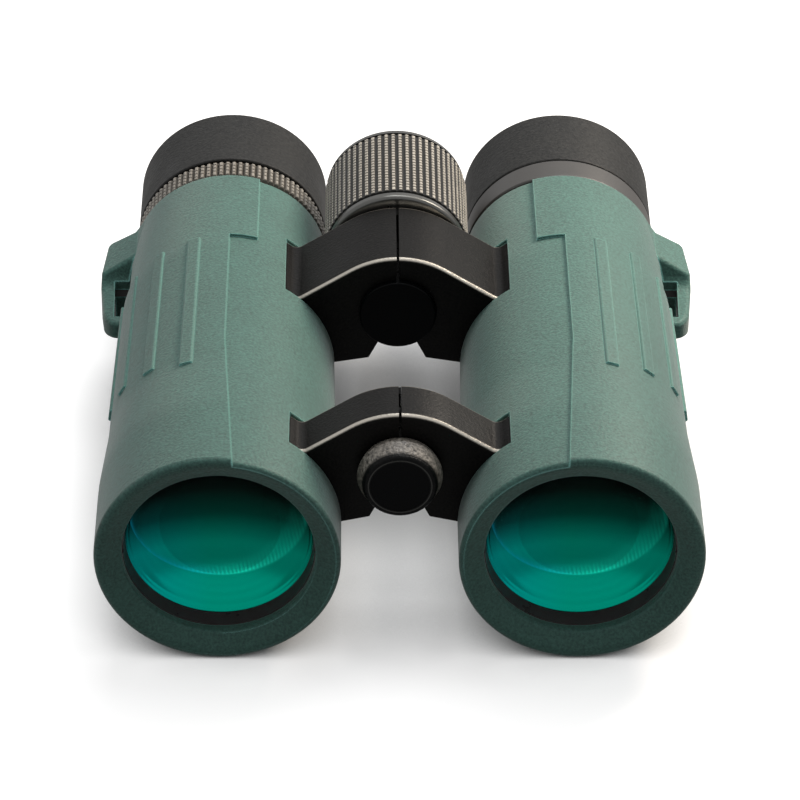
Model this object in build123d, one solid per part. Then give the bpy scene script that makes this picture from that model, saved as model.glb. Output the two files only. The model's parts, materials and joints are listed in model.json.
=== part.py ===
from build123d import *
import math
import os

# Open-bridge roof-prism binoculars with 42 mm objectives, lying on their barrels.
# Objectives face -Y, eyepieces +Y, and +Z is up. Right and left are the user's, so the right half is on -X.
# A station is a distance behind the front rim. Each half is drawn on its own optical axis, the hinge on +X.

# Layout
AXIS_SPACING = 78.4  # between the optical axes, opened wide
HINGE_RISE = 14.0  # hinge axis above the optical axes
FOLD_ANGLE = 52.5  # turn of the left half about the hinge, opened wide to closed

# Clearances
FIT = 0.05  # radial or axial room in a fixed seat
RUN = 0.06  # radial room of a turning or sliding fit
PLAY = 0.35  # room between bodies that pass each other

# Objective group
LENS_R = 21.0
LENS_VERTEX = 5.9  # station of the front lens's crown
CROWN_THICK = 8.0
FLINT_THICK = 3.0
LENS_FRONT_RADIUS = 91.0
LENS_JOIN_RADIUS = 70.0
LENS_REAR_RADIUS = 250.0
RING_LIP = 0.6  # lens edge covered by the retaining ring
RING_LEAD = 0.3  # flare of the retaining ring towards the front
RING_THREAD = 0.6  # retaining ring thread outside the lens radius
NOTCH_WIDTH = 2.2
NOTCH_DEPTH = 0.8
CELL_WALL = 1.7
CELL_LEDGE = 1.4  # ledge behind the lens
CELL_LEDGE_THICK = 2.0
SEAL_SECTION = 0.5  # radius of the sealing ring's section

# Barrel casting
WALL = 1.6
LIP_DEPTH = 5.6  # rubber in front of the casting
FRONT_SECTION = 30.6  # wide part round the objective
STEP_LENGTH = 3.8  # cone from the wide part to the main tube
MAIN_SECTION = 56.2  # main tube over the focusing lens and the prisms
TAPER_LENGTH = 23.8  # cone to the eyepiece
MAIN_BORE_R = 21.2
ROD_FLANGE_BORE = 15.0  # opening of the flange that holds the guide rods
ROD_FLANGE_THICK = 3.0
COLLAR_LENGTH = 5.5  # seat of the eyepiece tube
TAIL_WALL = 2.5

# Rubber armour
RIM_RUBBER = 2.55  # at the objective
GRIP_RUBBER = 2.9  # where the main tube starts
WAIST_RUBBER = 2.2  # over the prisms
TAIL_RUBBER = 2.5  # at the eyepiece
RIM_BAND = 21.6  # parallel length behind the rim
WAIST_SETBACK = 9.0  # waist in front of the cone to the eyepiece
PANEL_STEP = 0.8  # height of the outer panel over the inner one, on top
PANEL_FADE = 0.1  # the same underneath
PANEL_EDGE_FRONT = 3.4  # panel edge inwards of the optical axis, at the rim
PANEL_EDGE_MID = 0.6
PANEL_EDGE_REAR = 7.0
PANEL_MID_STATION = 48.6
PANEL_JOG_SETBACK = 28.3  # jog in the panel edge in front of the casting's end
LIP_LAP = 4.2  # rubber lip over the retaining ring
LIP_COVER = 0.25  # retaining ring edge that the lip leaves bare
LIP_ROUND = 1.2
LIP_CONE_WIDTH = 3.9  # the lip's face falls inwards over this width
LIP_CONE_DEPTH = 2.3
LIP_CONE_ROUND = 3.0
LIP_INNER_ROUND = 0.8
TAIL_ROUND = 0.7
BLEND = 60.0  # soft bends along the barrel
RIB_COUNT = 4
RIB_FIRST = 17.5  # degrees outwards from the top
RIB_PITCH = 21.4
RIB_WIDTH = 3.0
RIB_HEIGHT = 0.55
RIB_ROUND = 0.45
RIB_ROOT = 1.0  # depth of a rib's root in the rubber
RIB_FRONT = 39.0  # station of the first rib's front end
RIB_STAGGER = 3.3  # how much further back each next rib starts
RIB_END_SETBACK = 29.6  # rear ends in front of the casting's end

# Strap lugs
LUG_REACH = 30.5  # outermost point from the optical axis
LUG_BAR = 3.3  # bar outside the strap slot
LUG_CORE = 1.2  # metal in the bar
SLOT_LENGTH = 13.0
SLOT_TAPER = 0.45  # the slot is this much narrower in front
LUG_LEAN = 1.3  # the bar's outside leans in by this much along the slot
LUG_REAR_SETBACK = 1.6  # lug's rear face in front of the casting's end
LUG_BACK_WALL = 13.4  # solid shoulder behind the slot
LUG_FRONT_WALL = 3.0
LUG_FRONT_SWEEP = 3.4  # the bar's front end hooks back to the barrel over this reach
LUG_TOP = 8.6  # knee of the shoulder above the optical axis
LUG_TOP_INSET = 8.4  # that knee in from the lug's reach
LUG_SLOPE = 29.5
LUG_CREST = 36.0  # degrees up the barrel where the shoulder runs out
LUG_BAR_TOP = 1.4
LUG_DROP = 8.7  # underside of the shoulder below the optical axis
LUG_LIFT = 5.8  # the underside rises by this much to the front end
LUG_CORE_INSET = 1.2  # rubber over and under the metal
LUG_SCOOP = 4.0  # hollow round between shoulder and bar
LUG_ROUND = 1.1
LUG_TUCK = 1.4  # rear corner in from the reach
LUG_REAR_ROUND = 1.8
LUG_SWELL = 14.0  # bend beside the slot's back end
LUG_BOW = 8.0  # bend beside its front end
LUG_HOOK_ROUND = 2.8

# Bridges
FRONT_BRIDGE_STATION = 14.4
FRONT_BRIDGE_LENGTH = 11.6
REAR_BRIDGE_LENGTH = 22.2
REAR_BRIDGE_SETBACK = 22.3  # rear face in front of the casting's end
ARCH_RISE = 14.4  # bridge top above the hinge axis
ARCH_R = 20.0
ARM_SLOPE = 33.0
ARM_FOOT = -0.3  # arm's underside at the barrel, above the optical axis
CROTCH_R = 14.3  # lower corner of an arm from the hinge axis
CROTCH_PLAY = 1.2  # degrees left between the arms when folded
SEAM = 0.6  # slit between the two arms on top
ARM_ROUND = 1.1
VALLEY_ROUND = 2.0
FRONT_PAD_LAP = 2.4  # casting pad beside the foot of the arm
REAR_PAD_LAP = 2.1
PAD_FOOT = 3.4  # pad below the arm
PAD_DROP = 0.3  # pad under the inner rubber panel
WINDOW_PLAY = 0.15  # rubber round the pads
HUB_R = 8.75
HUB_PLAY = 0.25
KNUCKLE_GAP = 0.5
WASHER_THICK = 0.4
WASHER_EDGE = 0.3  # washer under the knuckle's edge
FRONT_KNUCKLE = 3.0  # outer knuckles of the front bridge
REAR_FIRST_KNUCKLE = 3.0
REAR_LAST_KNUCKLE = 9.0

# Hinge parts
TUBE_R = 6.5
TUBE_BORE_R = 5.0
PLUG_PROUD = 1.6
PLUG_ROUND = 0.4
PLUG_SPIGOT = 2.4
PIN_R = 6.0
NUT_R = 7.6
NUT_THICK = 1.8
NUT_THREAD_R = 4.0
SPIGOT_R = 7.2
SPIGOT_LENGTH = 4.4
SOCKET_R = 3.175  # quarter-inch tripod thread
SOCKET_DEPTH = 9.0

# Tripod socket cap
CAP_R = 9.35
CAP_FACE_R = 7.8
CAP_LENGTH = 6.1
CAP_WAIST = 2.1  # widest ring in front of the cap's back edge
CAP_BACK_R = 8.7
CAP_PLATE = 1.7
CAP_ROUND = 0.7
DISC_R = 6.4
DISC_THICK = 0.6

# Focus drive
TRAVEL = 1.5  # focusing lens, each way
SPINDLE_R = 2.4
SPINDLE_TIP_R = 1.4
SPINDLE_TIP = 2.0
GROOVE_DEPTH = 1.3
TRAVELLER_END = 1.2  # traveller beyond its grooves
FINGER = 2.4  # drive finger, square
SLOT_ANGLE_PLAY = 9.0  # degrees beside the finger in the hinge tube
WHEEL_GAP = 0.8
WHEEL_R = 16.45
WHEEL_LENGTH = 29.8
WHEEL_FRONT_LIP = 1.9
WHEEL_REAR_LIP = 1.6
WHEEL_LIP_ROUND = 0.8
GRIP_THICK = 2.0
KNURL_HEIGHT = 0.35
WHEEL_WEB = 4.0
WHEEL_BEARING = 18.0  # length of the wheel on the hinge tube
END_CAP_R = 12.6
END_CAP_THICK = 1.4

# Focusing lens
FOCUS_LENS_R = 13.0
FOCUS_LENS_THICK = 3.0
FOCUS_LENS_RADIUS = 60.0
FOCUS_SETBACK = 5.0  # carriage behind the rod flange
CARRIAGE_R = 20.2
CARRIAGE_THICK = 6.4
CARRIAGE_LEDGE = 1.0
ROD_R = 1.0
ROD_CIRCLE = 17.2
ROD_TURNS = (120, 240)  # degrees round the optical axis from the hinge
ROD_BED = 2.0  # rod length in each of its seats

# Prisms
PRISM_WIDTH = 18.0
PRISM_ENTRY = 25.0  # length of each entry and exit face
PRISM_DROP = 10.5  # sharp edge of the first prism below the optical axis
PRISM_REACH = 21.5  # entry face to exit face
PRISM_GAP = 0.2
CAGE_R = 20.4
CAGE_PLATE = 2.0
CAGE_SETBACK = 24.0  # cage behind the rod flange
CAGE_BORE_FRONT = 10.5
CAGE_BORE_REAR = 9.5
CAGE_CHEEK = 2.0
CAGE_CHEEK_HEIGHT = 18.0
CLAMP_THICK = 0.8
CLAMP_WIDTH = 6.0

# Eyepiece
EYE_TUBE_R = 18.0
EYE_TUBE_WALL = 1.6
EYE_FLANGE = 2.0  # collar under the ring
RING_GAP = 0.25
RING_WIDTH = 7.1
RING_WALL = 2.5
RING_ROUND = 0.5
CUP_GAP = 0.4
CUP_LENGTH = 21.2
EYE_TUBE_BELOW_CUP = 3.4
FIELD_LENS_R = 13.0
FIELD_LENS_THICK = 6.0
FIELD_LENS_RADIUS = 40.0
EYE_LENS_R = 11.5
EYE_LENS_THICK = 6.0
EYE_LENS_RADIUS = 35.0
OCULAR_LEDGE = 1.5  # eye lens edge under its retaining ring
OCULAR_FIELD_STOP = 9.5  # between the ledges
OCULAR_RETAINER = 2.0
OCULAR_THREAD = 0.7  # retaining ring thread outside the eye lens
OCULAR_BELOW_TUBE = 1.3
DIOPTER_TRAVEL = 0.8

# Eyecup
GUIDE_WALL = 1.1
GUIDE_LENGTH = 4.0
GUIDE_LIFT = 1.2
KEY_WIDTH = 2.0
KEY_DEPTH = 0.7
CUP_RISE = 9.0  # eyecup travel
SLEEVE_WALL = 1.25
SLEEVE_TOP = 2.2  # rubber over the sleeve
SLEEVE_RIM = 1.0
CUP_RUBBER = 1.95
CUP_MOUTH_R = 15.6
CUP_ROUND = 1.4
CUP_MOUTH_ROUND = 0.9

# Stations along the barrel
T_CAST = LIP_DEPTH
T_STEP = T_CAST + FRONT_SECTION
T_MAIN = T_STEP + STEP_LENGTH
T_TAPER = T_MAIN + MAIN_SECTION
T_TAIL = T_TAPER + TAPER_LENGTH
T_RING = T_TAIL + RING_GAP
T_CUP = T_RING + RING_WIDTH + CUP_GAP
LENGTH = T_CUP + CUP_LENGTH
T_FRONT_BRIDGE = FRONT_BRIDGE_STATION
T_FRONT_BRIDGE_END = T_FRONT_BRIDGE + FRONT_BRIDGE_LENGTH
T_REAR_BRIDGE_END = T_TAIL - REAR_BRIDGE_SETBACK
T_REAR_BRIDGE = T_REAR_BRIDGE_END - REAR_BRIDGE_LENGTH
T_WHEEL = T_REAR_BRIDGE_END + WHEEL_GAP
T_WHEEL_END = T_WHEEL + WHEEL_LENGTH
T_CARRIAGE = T_STEP + ROD_FLANGE_THICK + FOCUS_SETBACK
T_CAGE = T_STEP + ROD_FLANGE_THICK + CAGE_SETBACK
T_TUBE_END = LENGTH - EYE_TUBE_BELOW_CUP
T_GUIDE = T_CUP + GUIDE_LIFT

# Radii that follow from the stack of pieces
CELL_R = LENS_R + FIT + CELL_WALL
RING_OUT_R = LENS_R + RING_THREAD
CLEAR_R = LENS_R - RING_LIP
FRONT_BORE_R = CELL_R + FIT
FRONT_R = FRONT_BORE_R + WALL
MAIN_R = MAIN_BORE_R + WALL
TAIL_BORE_R = EYE_TUBE_R + FIT
TAIL_R = TAIL_BORE_R + TAIL_WALL
RIM_R = FRONT_R + RIM_RUBBER
GRIP_R = MAIN_R + GRIP_RUBBER
WAIST_R = MAIN_R + WAIST_RUBBER
TAIL_ARMOUR_R = TAIL_R + TAIL_RUBBER
LIP_BORE_R = CLEAR_R + RING_LEAD + LIP_COVER
FLANGE_R = EYE_TUBE_R + EYE_FLANGE
RING_R = FLANGE_R + RUN + RING_WALL
GUIDE_R = EYE_TUBE_R + RUN + GUIDE_WALL
SLEEVE_BORE_R = GUIDE_R + RUN
SLEEVE_R = SLEEVE_BORE_R + SLEEVE_WALL
CUP_R = SLEEVE_R + FIT + CUP_RUBBER
OCULAR_R = EYE_TUBE_R - EYE_TUBE_WALL - RUN
WHEEL_CORE_R = WHEEL_R - GRIP_THICK
SLOT_INNER = MAIN_R + FIT
SLOT_OUTER = LUG_REACH - LUG_BAR
HALF_SPACING = AXIS_SPACING / 2
HINGE_REACH = math.hypot(HALF_SPACING, HINGE_RISE)
HINGE_ANGLE = math.degrees(math.atan2(HINGE_RISE, HALF_SPACING))
BRIDGE_TOP = HINGE_RISE + ARCH_RISE

# Knuckle stations of the two bridges, first and last knuckle on the right half, the middle one on the left
FRONT_KNUCKLES = (
    T_FRONT_BRIDGE,
    T_FRONT_BRIDGE + FRONT_KNUCKLE,
    T_FRONT_BRIDGE_END - FRONT_KNUCKLE,
    T_FRONT_BRIDGE_END,
)
REAR_KNUCKLES = (
    T_REAR_BRIDGE,
    T_REAR_BRIDGE + REAR_FIRST_KNUCKLE,
    T_REAR_BRIDGE_END - REAR_LAST_KNUCKLE,
    T_REAR_BRIDGE_END,
)
RIGHT_FINGER_T = (REAR_KNUCKLES[2] + REAR_KNUCKLES[3]) / 2
LEFT_FINGER_T = (REAR_KNUCKLES[1] + REAR_KNUCKLES[2]) / 2
FINGER_TIP = HINGE_REACH - TUBE_BORE_R + RUN + GROOVE_DEPTH - FIT


def y_at(station):
    return station - LENGTH / 2


def turned(*corners):
    """Solid turned about the optical axis from (radius, station) corners."""
    outline = Polyline(*[(r, y_at(t)) for r, t in corners], close=True)
    return revolve(make_face(outline), axis=Axis.Y)


def turned_soft(*corners):
    """The same from (radius, station, rounding) corners."""
    points = [(r, y_at(t)) for r, t, _ in corners]
    outline = FilletPolyline(*points, radius=[soft for _, _, soft in corners], close=True)
    return revolve(make_face(outline), axis=Axis.Y)


def slab(section, front, back):
    """A section drawn in x and z, drawn out from one station to another."""
    plane = Plane((0, y_at(back), 0), x_dir=(1, 0, 0), z_dir=(0, -1, 0))
    return extrude(plane * section, amount=back - front)


def rod(radius, front, back, x=0.0, z=0.0):
    return slab(Pos(x, z) * Circle(radius), front, back)


def plan(section, bottom, top):
    """A section drawn in x and y, drawn out from one height to another."""
    return extrude(Plane((0, 0, bottom)) * section, amount=top - bottom, dir=(0, 0, 1))


def block(x0, x1, front, back, z0, z1):
    box = Box(x1 - x0, back - front, z1 - z0)
    return Pos((x0 + x1) / 2, (y_at(front) + y_at(back)) / 2, (z0 + z1) / 2) * box


def bulge(curve, reach):
    """Depth of a spherical face of that curve at a distance from the axis."""
    return curve - math.copysign(math.sqrt(curve**2 - reach**2), curve)


def lens(radius, vertex, thick, front, back):
    """Lens with its front crown at a station. A positive curve swells outwards."""
    def front_at(r):
        return (r, y_at(vertex + bulge(front, r)))

    def back_at(r):
        return (r, y_at(vertex + thick - bulge(back, r)))

    edges = [
        ThreePointArc(front_at(0), front_at(radius / 2), front_at(radius)),
        Line(front_at(radius), back_at(radius)),
        ThreePointArc(back_at(radius), back_at(radius / 2), back_at(0)),
        Line(back_at(0), front_at(0)),
    ]
    return revolve(make_face(edges), axis=Axis.Y)


# Objective group

LENS_EDGE = LENS_VERTEX + bulge(LENS_FRONT_RADIUS, LENS_R)
JOIN_VERTEX = LENS_VERTEX + CROWN_THICK
RING_FRONT = LIP_LAP + FIT
RING_BACK = LENS_VERTEX + bulge(LENS_FRONT_RADIUS, CLEAR_R) - FIT
CELL_FRONT = T_CAST + FIT
LEDGE_R = LENS_R - CELL_LEDGE
LEDGE_T = JOIN_VERTEX + FIT + FLINT_THICK - bulge(LENS_REAR_RADIUS, LEDGE_R) + FIT
CELL_BACK = LEDGE_T + CELL_LEDGE_THICK
SEAL_T = (LENS_EDGE + CELL_BACK) / 2


def objective_front_lens():
    return lens(LENS_R, LENS_VERTEX, CROWN_THICK, LENS_FRONT_RADIUS, LENS_JOIN_RADIUS)


def objective_rear_lens():
    return lens(LENS_R, JOIN_VERTEX + FIT, FLINT_THICK, -LENS_JOIN_RADIUS, LENS_REAR_RADIUS)


def objective_retaining_ring():
    ring = turned(
        (CLEAR_R + RING_LEAD, RING_FRONT),
        (RING_OUT_R, RING_FRONT),
        (RING_OUT_R, RING_BACK),
        (CLEAR_R, RING_BACK),
    )
    notch = block(-RING_OUT_R, RING_OUT_R, RING_FRONT - FIT, RING_FRONT + NOTCH_DEPTH,
                  -NOTCH_WIDTH / 2, NOTCH_WIDTH / 2)
    return ring - notch


def objective_cell():
    cell = turned(
        (RING_OUT_R + FIT, CELL_FRONT),
        (CELL_R, CELL_FRONT),
        (CELL_R, CELL_BACK),
        (LEDGE_R, CELL_BACK),
        (LEDGE_R, LEDGE_T),
        (LENS_R + FIT, LEDGE_T),
        (LENS_R + FIT, RING_BACK),
        (RING_OUT_R + FIT, RING_BACK),
    )
    return cell - seal_ring(SEAL_SECTION + FIT)


def seal_ring(section):
    """Ring of round section in a groove of the objective cell."""
    centre = (CELL_R - SEAL_SECTION, y_at(SEAL_T))
    return revolve(Pos(*centre) * Circle(section), axis=Axis.Y)


def objective_seal():
    return seal_ring(SEAL_SECTION)


# Barrel casting with its bridge arms

def cone_r(station):
    """Outside radius of the casting along its cone to the eyepiece."""
    share = (station - T_TAPER) / TAPER_LENGTH
    return MAIN_R + (TAIL_R - MAIN_R) * share


def casting_blank():
    return turned(
        (0, T_CAST),
        (FRONT_R, T_CAST),
        (FRONT_R, T_STEP),
        (MAIN_R, T_MAIN),
        (MAIN_R, T_TAPER),
        (TAIL_R, T_TAIL),
        (0, T_TAIL),
    )


def casting_hollow():
    flange_back = T_STEP + ROD_FLANGE_THICK
    collar = T_TAIL - COLLAR_LENGTH
    return turned(
        (0, T_CAST),
        (FRONT_BORE_R, T_CAST),
        (FRONT_BORE_R, T_STEP),
        (ROD_FLANGE_BORE, T_STEP),
        (ROD_FLANGE_BORE, flange_back),
        (MAIN_BORE_R, flange_back),
        (MAIN_BORE_R, T_TAPER),
        (cone_r(collar) - WALL, collar),
        (TAIL_BORE_R, collar),
        (TAIL_BORE_R, T_TAIL),
        (0, T_TAIL),
    )


def armour_r(station):
    """Outside radius of the outer rubber panel."""
    stations = (0, RIM_BAND, T_MAIN, T_TAPER - WAIST_SETBACK, T_TAIL)
    radii = (RIM_R, RIM_R, GRIP_R, WAIST_R, TAIL_ARMOUR_R)
    for i in range(len(stations) - 1):
        if station <= stations[i + 1]:
            share = (station - stations[i]) / (stations[i + 1] - stations[i])
            return radii[i] + (radii[i + 1] - radii[i]) * share
    return TAIL_ARMOUR_R


def pad_r(front, back):
    """The casting's pad lies just under the inner rubber panel."""
    return min(armour_r(front), armour_r(back)) - PANEL_STEP - PAD_DROP


def arch_point(angle):
    """Point on the arch of the bridge, by its angle from the top."""
    return (HALF_SPACING - ARCH_R * math.sin(angle), BRIDGE_TOP - ARCH_R * (1 - math.cos(angle)))


def arm_line():
    """Straight top of an arm, from the end of the arch to its root inside the barrel."""
    slope = math.radians(ARM_SLOPE)
    bend = arch_point(slope)
    root_x = MAIN_BORE_R / 2
    return bend, (root_x, bend[1] - (bend[0] - root_x) * math.tan(slope))


def valley_point(pad):
    """Where the top of an arm runs into its pad."""
    bend, root = arm_line()
    return line_meets_circle(bend, root, pad)


def pad_edge(pad, lap):
    return valley_point(pad)[0] - lap


def arm_section(pad, lap):
    """Arm of the right half from its barrel to the hinge, with the pad it stands on."""
    bend, root = arm_line()
    seam_x = HALF_SPACING - SEAM / 2
    top = (seam_x, BRIDGE_TOP - ARCH_R + math.sqrt(ARCH_R**2 - (SEAM / 2) ** 2))
    middle = arch_point(math.radians(ARM_SLOPE) / 2)
    notch = math.radians(FOLD_ANGLE / 2 + CROTCH_PLAY)
    crotch = (HALF_SPACING - CROTCH_R * math.sin(notch), HINGE_RISE - CROTCH_R * math.cos(notch))
    foot = (pad, ARM_FOOT)
    arm = make_face([
        ThreePointArc(top, middle, bend),
        Line(bend, root),
        Line(root, (root[0], ARM_FOOT)),
        Line((root[0], ARM_FOOT), foot),
        Line(foot, crotch),
        Line(crotch, (seam_x, HINGE_RISE)),
        Line((seam_x, HINGE_RISE), top),
    ])
    window = Rectangle(pad, pad - ARM_FOOT + PAD_FOOT, align=(Align.MIN, Align.MIN))
    base = Circle(pad) & (Pos(pad_edge(pad, lap), ARM_FOOT - PAD_FOOT) * window)
    section = arm + base
    corner = section.vertices().sort_by_distance((*valley_point(pad), 0))[0]
    return fillet(corner, VALLEY_ROUND)


def line_meets_circle(outer, inner, radius):
    """Where a line from a point outside enters a circle about the optical axis."""
    dx, dz = inner[0] - outer[0], inner[1] - outer[1]
    a = dx * dx + dz * dz
    b = outer[0] * dx + outer[1] * dz
    c = outer[0] ** 2 + outer[1] ** 2 - radius**2
    share = (-b - math.sqrt(b * b - a * c)) / a
    return (outer[0] + share * dx, outer[1] + share * dz)


def bridge_arm(knuckles, is_right, pin_r, lap):
    """One arm with its knuckles, cleared for the other arm's knuckles."""
    first, split_a, split_b, last = knuckles
    pad = pad_r(first, last)
    arm = slab(arm_section(pad, lap), first, last)
    ridge = [
        e for e in arm.edges()
        if e.center().Z > HINGE_RISE
        and pad_edge(pad, lap) + FIT < e.center().X < HALF_SPACING - SEAM
        and abs(e.bounding_box().size.Y) < FIT
    ]
    arm = fillet(ridge, ARM_ROUND)
    left_front, left_back = split_a + KNUCKLE_GAP, split_b - KNUCKLE_GAP
    if is_right:
        own = [(first, split_a), (split_b, last)]
        other = [(split_a, split_b)]
    else:
        own = [(left_front, left_back)]
        other = [(first - PLAY, left_front), (left_back, last + PLAY)]
    for a, b in other:
        arm -= rod(HUB_R + HUB_PLAY, a, b, HALF_SPACING, HINGE_RISE)
    for a, b in own:
        arm += rod(HUB_R, a, b, HALF_SPACING, HINGE_RISE)
    return arm - rod(pin_r + RUN, first - PLAY, last + PLAY, HALF_SPACING, HINGE_RISE)


def drive_bar(inner, outer, width, front, back):
    """Straight bar from the optical axis towards the hinge axis."""
    bar = Pos((inner + outer) / 2, 0) * Rectangle(outer - inner, width)
    return slab(Rot(0, 0, HINGE_ANGLE) * bar, front, back)


def drive_channel(finger_t):
    """Room for the drive finger and its travel."""
    reach = FINGER / 2 + TRAVEL + PLAY
    inner = CARRIAGE_R - FINGER - PLAY
    return drive_bar(inner, HINGE_REACH, FINGER + 2 * PLAY, finger_t - reach, finger_t + reach)


def rod_places():
    """Guide rods either side of the carriage, away from the hinge."""
    for turn in ROD_TURNS:
        angle = math.radians(HINGE_ANGLE + turn)
        yield ROD_CIRCLE * math.cos(angle), ROD_CIRCLE * math.sin(angle)


def barrel_casting(is_right):
    casting = casting_blank()
    casting += bridge_arm(FRONT_KNUCKLES, is_right, PIN_R, FRONT_PAD_LAP)
    casting += bridge_arm(REAR_KNUCKLES, is_right, TUBE_R, REAR_PAD_LAP)
    casting -= casting_hollow()
    casting -= drive_channel(RIGHT_FINGER_T if is_right else LEFT_FINGER_T)
    flange_back = T_STEP + ROD_FLANGE_THICK
    for x, z in rod_places():
        casting -= rod(ROD_R + FIT, flange_back - ROD_BED, flange_back + FIT, x, z)
    return casting


# Rubber armour

def armour_outside(drop):
    """The armour filled in, its outside lowered by a drop."""
    return turned_soft(
        (0, 0, 0),
        (RIM_R - drop, 0, LIP_ROUND),
        (RIM_R - drop, RIM_BAND, BLEND),
        (GRIP_R - drop, T_MAIN, BLEND),
        (WAIST_R - drop, T_TAPER - WAIST_SETBACK, BLEND),
        (TAIL_ARMOUR_R - drop, T_TAIL, TAIL_ROUND),
        (0, T_TAIL, 0),
    )


def armour_bore():
    """Room for the casting and the retaining ring, with the funnel of the lip."""
    seat = RING_OUT_R + FIT
    return turned_soft(
        (0, -PLAY, 0),
        (RIM_R, -PLAY, 0),
        (RIM_R, 0, 0),
        (LIP_BORE_R + LIP_CONE_WIDTH, 0, LIP_CONE_ROUND),
        (LIP_BORE_R, LIP_CONE_DEPTH, LIP_INNER_ROUND),
        (LIP_BORE_R, LIP_LAP, 0),
        (seat, LIP_LAP, 0),
        (seat, T_CAST - FIT, 0),
        (FRONT_R + FIT, T_CAST - FIT, 0),
        (FRONT_R + FIT, T_STEP, 0),
        (MAIN_R + FIT, T_MAIN, 0),
        (MAIN_R + FIT, T_TAPER, 0),
        (TAIL_R + FIT, T_TAIL, 0),
        (TAIL_R + FIT, T_TAIL + PLAY, 0),
        (0, T_TAIL + PLAY, 0),
    )


def inner_panel():
    """The lower inner side, which meets the outer panel almost level underneath."""
    drop, shift = (PANEL_STEP + PANEL_FADE) / 2, (PANEL_STEP - PANEL_FADE) / 2
    return Pos(0, 0, -shift) * armour_outside(drop)


def outer_panel():
    """The raised outer side of the armour, cut along a straight edge with one jog."""
    jog = T_TAIL - PANEL_JOG_SETBACK
    edge = Polyline(
        (PANEL_EDGE_FRONT, y_at(-PLAY)),
        (PANEL_EDGE_MID, y_at(PANEL_MID_STATION)),
        (PANEL_EDGE_MID, y_at(jog)),
        (PANEL_EDGE_REAR, y_at(jog)),
        (PANEL_EDGE_REAR, y_at(T_TAIL + PLAY)),
        (-RIM_R - PLAY, y_at(T_TAIL + PLAY)),
        (-RIM_R - PLAY, y_at(-PLAY)),
        close=True,
    )
    reach = RIM_R + PLAY
    return armour_outside(0) & plan(make_face(edge), -reach, reach)


def rib(index):
    """Rounded rib along the outer panel."""
    front = RIB_FRONT + index * RIB_STAGGER
    back = T_TAIL - RIB_END_SETBACK
    foot, head = armour_r(front), armour_r(back)
    bar = RectangleRounded(RIB_WIDTH, RIB_HEIGHT * 2 + RIB_ROOT, RIB_ROUND)
    plane = Plane((0, y_at(front), foot), x_dir=(1, 0, 0), z_dir=(0, 1, 0))
    run = Vector(0, back - front, head - foot)
    bar = extrude(plane * Pos(0, RIB_ROOT / 2) * bar, amount=run.length, dir=run.normalized())
    return Rot(0, -RIB_FIRST - index * RIB_PITCH, 0) * bar


def lug_stations():
    slot_front, slot_back = slot_stations()
    return slot_front - LUG_FRONT_WALL, slot_back + LUG_BACK_WALL


def lug_crest():
    """Where the shoulder runs out on the barrel."""
    angle = math.radians(LUG_CREST)
    return -TAIL_ARMOUR_R * math.cos(angle), TAIL_ARMOUR_R * math.sin(angle)


def lug_from_above():
    """Straight behind, bowed along the bar, hooked back to the barrel in front."""
    front, back = lug_stations()
    slot_front, slot_back = slot_stations()
    root, top = lug_crest()
    outline = FilletPolyline(
        (root, y_at(back)),
        (-LUG_REACH + LUG_TUCK, y_at(back)),
        (-LUG_REACH, y_at(slot_back)),
        (-LUG_REACH + LUG_LEAN, y_at(slot_front)),
        (-LUG_REACH + LUG_FRONT_SWEEP, y_at(front)),
        (root, y_at(front)),
        radius=[0, LUG_REAR_ROUND, LUG_SWELL, LUG_BOW, LUG_HOOK_ROUND, 0],
        close=True,
    )
    return plan(make_face(outline), -LUG_DROP, top)


def lug_from_behind():
    """Shoulder that falls from the barrel to its knee, and then slopes outwards."""
    front, back = lug_stations()
    root, top = lug_crest()
    knee, far = -LUG_REACH + LUG_TOP_INSET, -LUG_REACH - PLAY
    edge = LUG_TOP - (knee - far) * math.tan(math.radians(LUG_SLOPE))
    outline = Polyline(
        (root, -LUG_DROP), (root, top), (knee, LUG_TOP), (far, edge), (far, -LUG_DROP), close=True
    )
    return slab(make_face(outline), front, back)


def lug_from_aside():
    """Shoulder behind, bar in front of it, underside rising to the front."""
    front, back = lug_stations()
    slot_back = slot_stations()[1]
    top = lug_crest()[1]
    outline = FilletPolyline(
        (y_at(back), -LUG_DROP),
        (y_at(slot_back), -LUG_DROP),
        (y_at(front), -LUG_DROP + LUG_LIFT),
        (y_at(front), LUG_BAR_TOP),
        (y_at(slot_back), LUG_BAR_TOP),
        (y_at(slot_back + LUG_SCOOP), top),
        (y_at(back), top),
        radius=[0, LUG_SWELL, 0, 0, LUG_SCOOP, 0, 0],
        close=True,
    )
    plane = Plane((-2 * LUG_REACH, 0, 0), x_dir=(0, 1, 0), z_dir=(1, 0, 0))
    return extrude(plane * make_face(outline), amount=2 * LUG_REACH)


def lug_block():
    """Rubber loop for the strap, with a sloped shoulder behind its slot."""
    lug = lug_from_above() & lug_from_behind() & lug_from_aside()
    outside = [e for e in lug.edges() if e.center().X < -MAIN_R - LUG_ROUND]
    return fillet(outside, LUG_ROUND)


def slot_stations():
    back = T_TAIL - LUG_REAR_SETBACK - LUG_BACK_WALL
    return back - SLOT_LENGTH, back


def slot_outline(grow):
    """Plan of the slot between the barrel and the lug's bar, narrower towards the front."""
    front, back = slot_stations()
    outline = make_face(Polyline(
        (-SLOT_INNER, y_at(back)),
        (-SLOT_OUTER, y_at(back)),
        (-SLOT_OUTER + SLOT_TAPER, y_at(front)),
        (-SLOT_INNER, y_at(front)),
        close=True,
    ))
    return offset(outline, amount=grow, kind=Kind.INTERSECTION) if grow else outline


def strap_slot():
    return plan(slot_outline(0), -RIM_R, RIM_R)


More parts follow.
